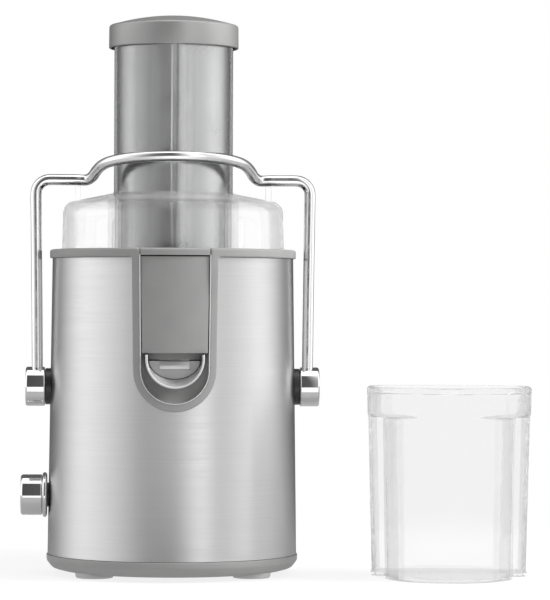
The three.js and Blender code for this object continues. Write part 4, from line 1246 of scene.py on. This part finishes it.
def pulp_bin():
    wall, top = 2.0, 233.5
    up = [(-3.0, 0.0), (-1.2, 0.4), (-0.3, 1.4), (0.0, 3.0), (0.0, 80), (0.0, 160)]
    brim = [(0.0, top - 0.5), (-0.5, top), (-1.5, top), (-wall, top - 0.5)]
    down = [(-wall, 160), (-wall, 80), (-wall, 5), (-3.0, 3.2), (-4.5, 2.6)]
    bin_piece = vessel("pulp_bin_shell", bin_outline, up + brim + down, AXIS)
    return dress(bin_piece, "pulp_bin", "clear_plastic", JUG_CLEAR, "pulp_container")


# ------------------------------------------------------------------ carried-over CAD nodes


def finish_cad_nodes():
    """Every node that still shows its CAD shape gets the look of its slot."""
    slots = {row["node"]: row["material_slot"] for row in frame["record"]["subparts"]}
    laminated_nodes = ("stator_core", "armature")
    for name, obj in frame["nodes"].items():
        look = IRON if name in laminated_nodes else SLOT_LOOKS[slots[name]]
        obj.data.materials.clear()
        obj.data.materials.append(look)


# ------------------------------------------------------------------ floor, light and camera


def blend(tree, low, high, from_level, to_level, height):
    """Passes from one colour to another between two elevations in degrees."""
    start, end = math.sin(math.radians(from_level)), math.sin(math.radians(to_level))
    return mixed(tree, remap(tree, height, start, end, curve="SMOOTHSTEP"), low, high)


def studio_world():
    """Soft panels round the set, a bright ceiling, and plain white behind the picture."""
    world = bpy.data.worlds.new("studio")
    bpy.context.scene.world = world
    world.use_nodes = True
    tree = world.node_tree
    tree.nodes.clear()
    place = add_node(tree, "TexCoord").outputs["Generated"]
    x, y, z = add_node(tree, "SeparateXYZ", {"Vector": place}).outputs
    angle = calc(tree, "ARCTAN2", x, calc(tree, "MULTIPLY", y, -1.0))
    azimuth = remap(tree, angle, -math.pi, math.pi)
    below, above = (
        grey_ramp(tree, [((degrees + 180) / 360, level) for degrees, level in stops], azimuth)
        for stops in (BELOW, ABOVE)
    )
    walls = blend(tree, below, above, -5, -1, z)
    room = blend(tree, walls, (CEILING, CEILING, CEILING, 1), 66, 76, z)

    ray = add_node(tree, "LightPath").outputs
    bounces = calc(tree, "ADD", ray["Diffuse Depth"], ray["Glossy Depth"])
    unbounced = calc(tree, "LESS_THAN", bounces, 0.5)
    in_glass = calc(tree, "COMPARE", ray["Transmission Depth"], 2.0, 1.4)
    seen = mixed(tree, calc(tree, "MAXIMUM", unbounced, in_glass), room, (1, 1, 1, 1))
    shade = add_node(tree, "Background", {"Color": seen})
    add_node(tree, "OutputWorld", {"Surface": shade.outputs["Background"]})


def studio():
    scene = bpy.context.scene
    outline = rounded([(-400, -270, 120), (400, -270, 120), (400, 420, 200), (-400, 420, 200)], 12)
    count = len(outline)
    verts = [(x, y, z) for z in (-0.2, -4.0) for x, y in outline]
    faces = [tuple(range(count)), tuple(range(count, 2 * count))] + grid_faces(2, count, wrap_cols=True)
    floor = make("light_table", verts, faces)
    look = Look("floor_white", grey(0.14), 0.8, Specular_IOR_Level=0.1)
    look.vary_color(look.noise(3, 2), 0.995, 1.0)
    look.set("Emission Color", (1, 1, 1, 1))
    mirrored = look.node("LightPath").outputs["Glossy Depth"]
    look.set("Emission Strength", remap(look.tree, mirrored, 0.0, 1.0, *FLOOR_GLOW))
    floor.data.materials.append(look.material)
    studio_world()
    target = (AXIS[0] * MM, AXIS[1] * MM, 0.2)
    key = area_light("key_right", (1.84, -0.56, 1.35), target, 0.9, KEY_POWER)
    overhead = area_light("overhead", (0, 0.05, 1.8), (0, 0, 0), 1.4, TOP_POWER)
    for light in (key, overhead):
        light.visible_glossy = False
        light.visible_transmission = False
    scene.view_settings.view_transform = "Standard"
    scene.view_settings.look = "None"


# Brightness of the studio above and below the horizon: degrees from the front, positive to the right.
ABOVE = [
    (-180, 0.12), (-150, 0.15), (-136, 0.34), (-119, 1.00), (-106, 1.52), (-94, 1.68), (-84, 1.48), (-65, 1.12),
    (-48, 0.74), (-36, 0.38), (-26, 0.17), (-12, 0.08), (4, 0.11), (14, 0.70), (22, 1.30), (28, 1.62),
    (36, 1.12), (44, 0.78), (60, 1.04), (88, 1.72), (99, 1.66), (112, 1.24), (127, 0.46), (147, 0.13),
    (180, 0.12),
]
BELOW = [
    (-180, 0.10), (-150, 0.15), (-125, 0.45), (-100, 0.62), (-34, 0.70), (-15, 1.12), (0, 1.36), (10, 1.36),
    (20, 1.08), (40, 0.66), (100, 0.62), (125, 0.40), (150, 0.15), (180, 0.10),
]
CEILING = 2.1
FLOOR_GLOW = (0.82, 0.32)  # seen straight or through the plastic, and seen in a mirror
KEY_POWER = 55
TOP_POWER = 6


def area_light(name, place, target, size, power):
    data = bpy.data.lights.new(name, "AREA")
    data.shape = "SQUARE"
    data.size = size
    data.energy = power
    light = bpy.data.objects.new(name, data)
    light.location = place
    direction = Vector(target) - Vector(place)
    light.rotation_euler = direction.to_track_quat("-Z", "Y").to_euler()
    bpy.context.scene.collection.objects.link(light)
    return light


def camera():
    """Level with the middle of the body, about 2.2 m in front of it."""
    distance = 2.243
    height = 0.1916
    pitch_up = math.radians(0.187)
    yaw = math.radians(-2.93)
    roll = math.radians(0.21)
    data = bpy.data.cameras.new("camera")
    data.lens = 184.3
    data.sensor_width = 36
    data.clip_end = 20
    cam = bpy.data.objects.new("camera", data)
    cam.location = ((AXIS[0] - 40.2) * MM, AXIS[1] * MM - distance, height)
    turn = Matrix.Rotation(yaw, 3, "Z") @ Matrix.Rotation(math.pi / 2 + pitch_up, 3, "X")
    cam.rotation_euler = (turn @ Matrix.Rotation(roll, 3, "Z")).to_euler()
    bpy.context.scene.collection.objects.link(cam)
    bpy.context.scene.camera = cam


# ------------------------------------------------------------------ build

camera()
studio()
finish_cad_nodes()
brushed_sleeve()
trim_collar()
edge_highlight_bead()
spout_panel()
juice_bowl()
juice_spout()
base_pan()
feet_and_screws()
clear_lid()
feed_tube()
pusher_body()
pusher_cap()
bail()
selector()
basket()
juice_jug()
pulp_bin()
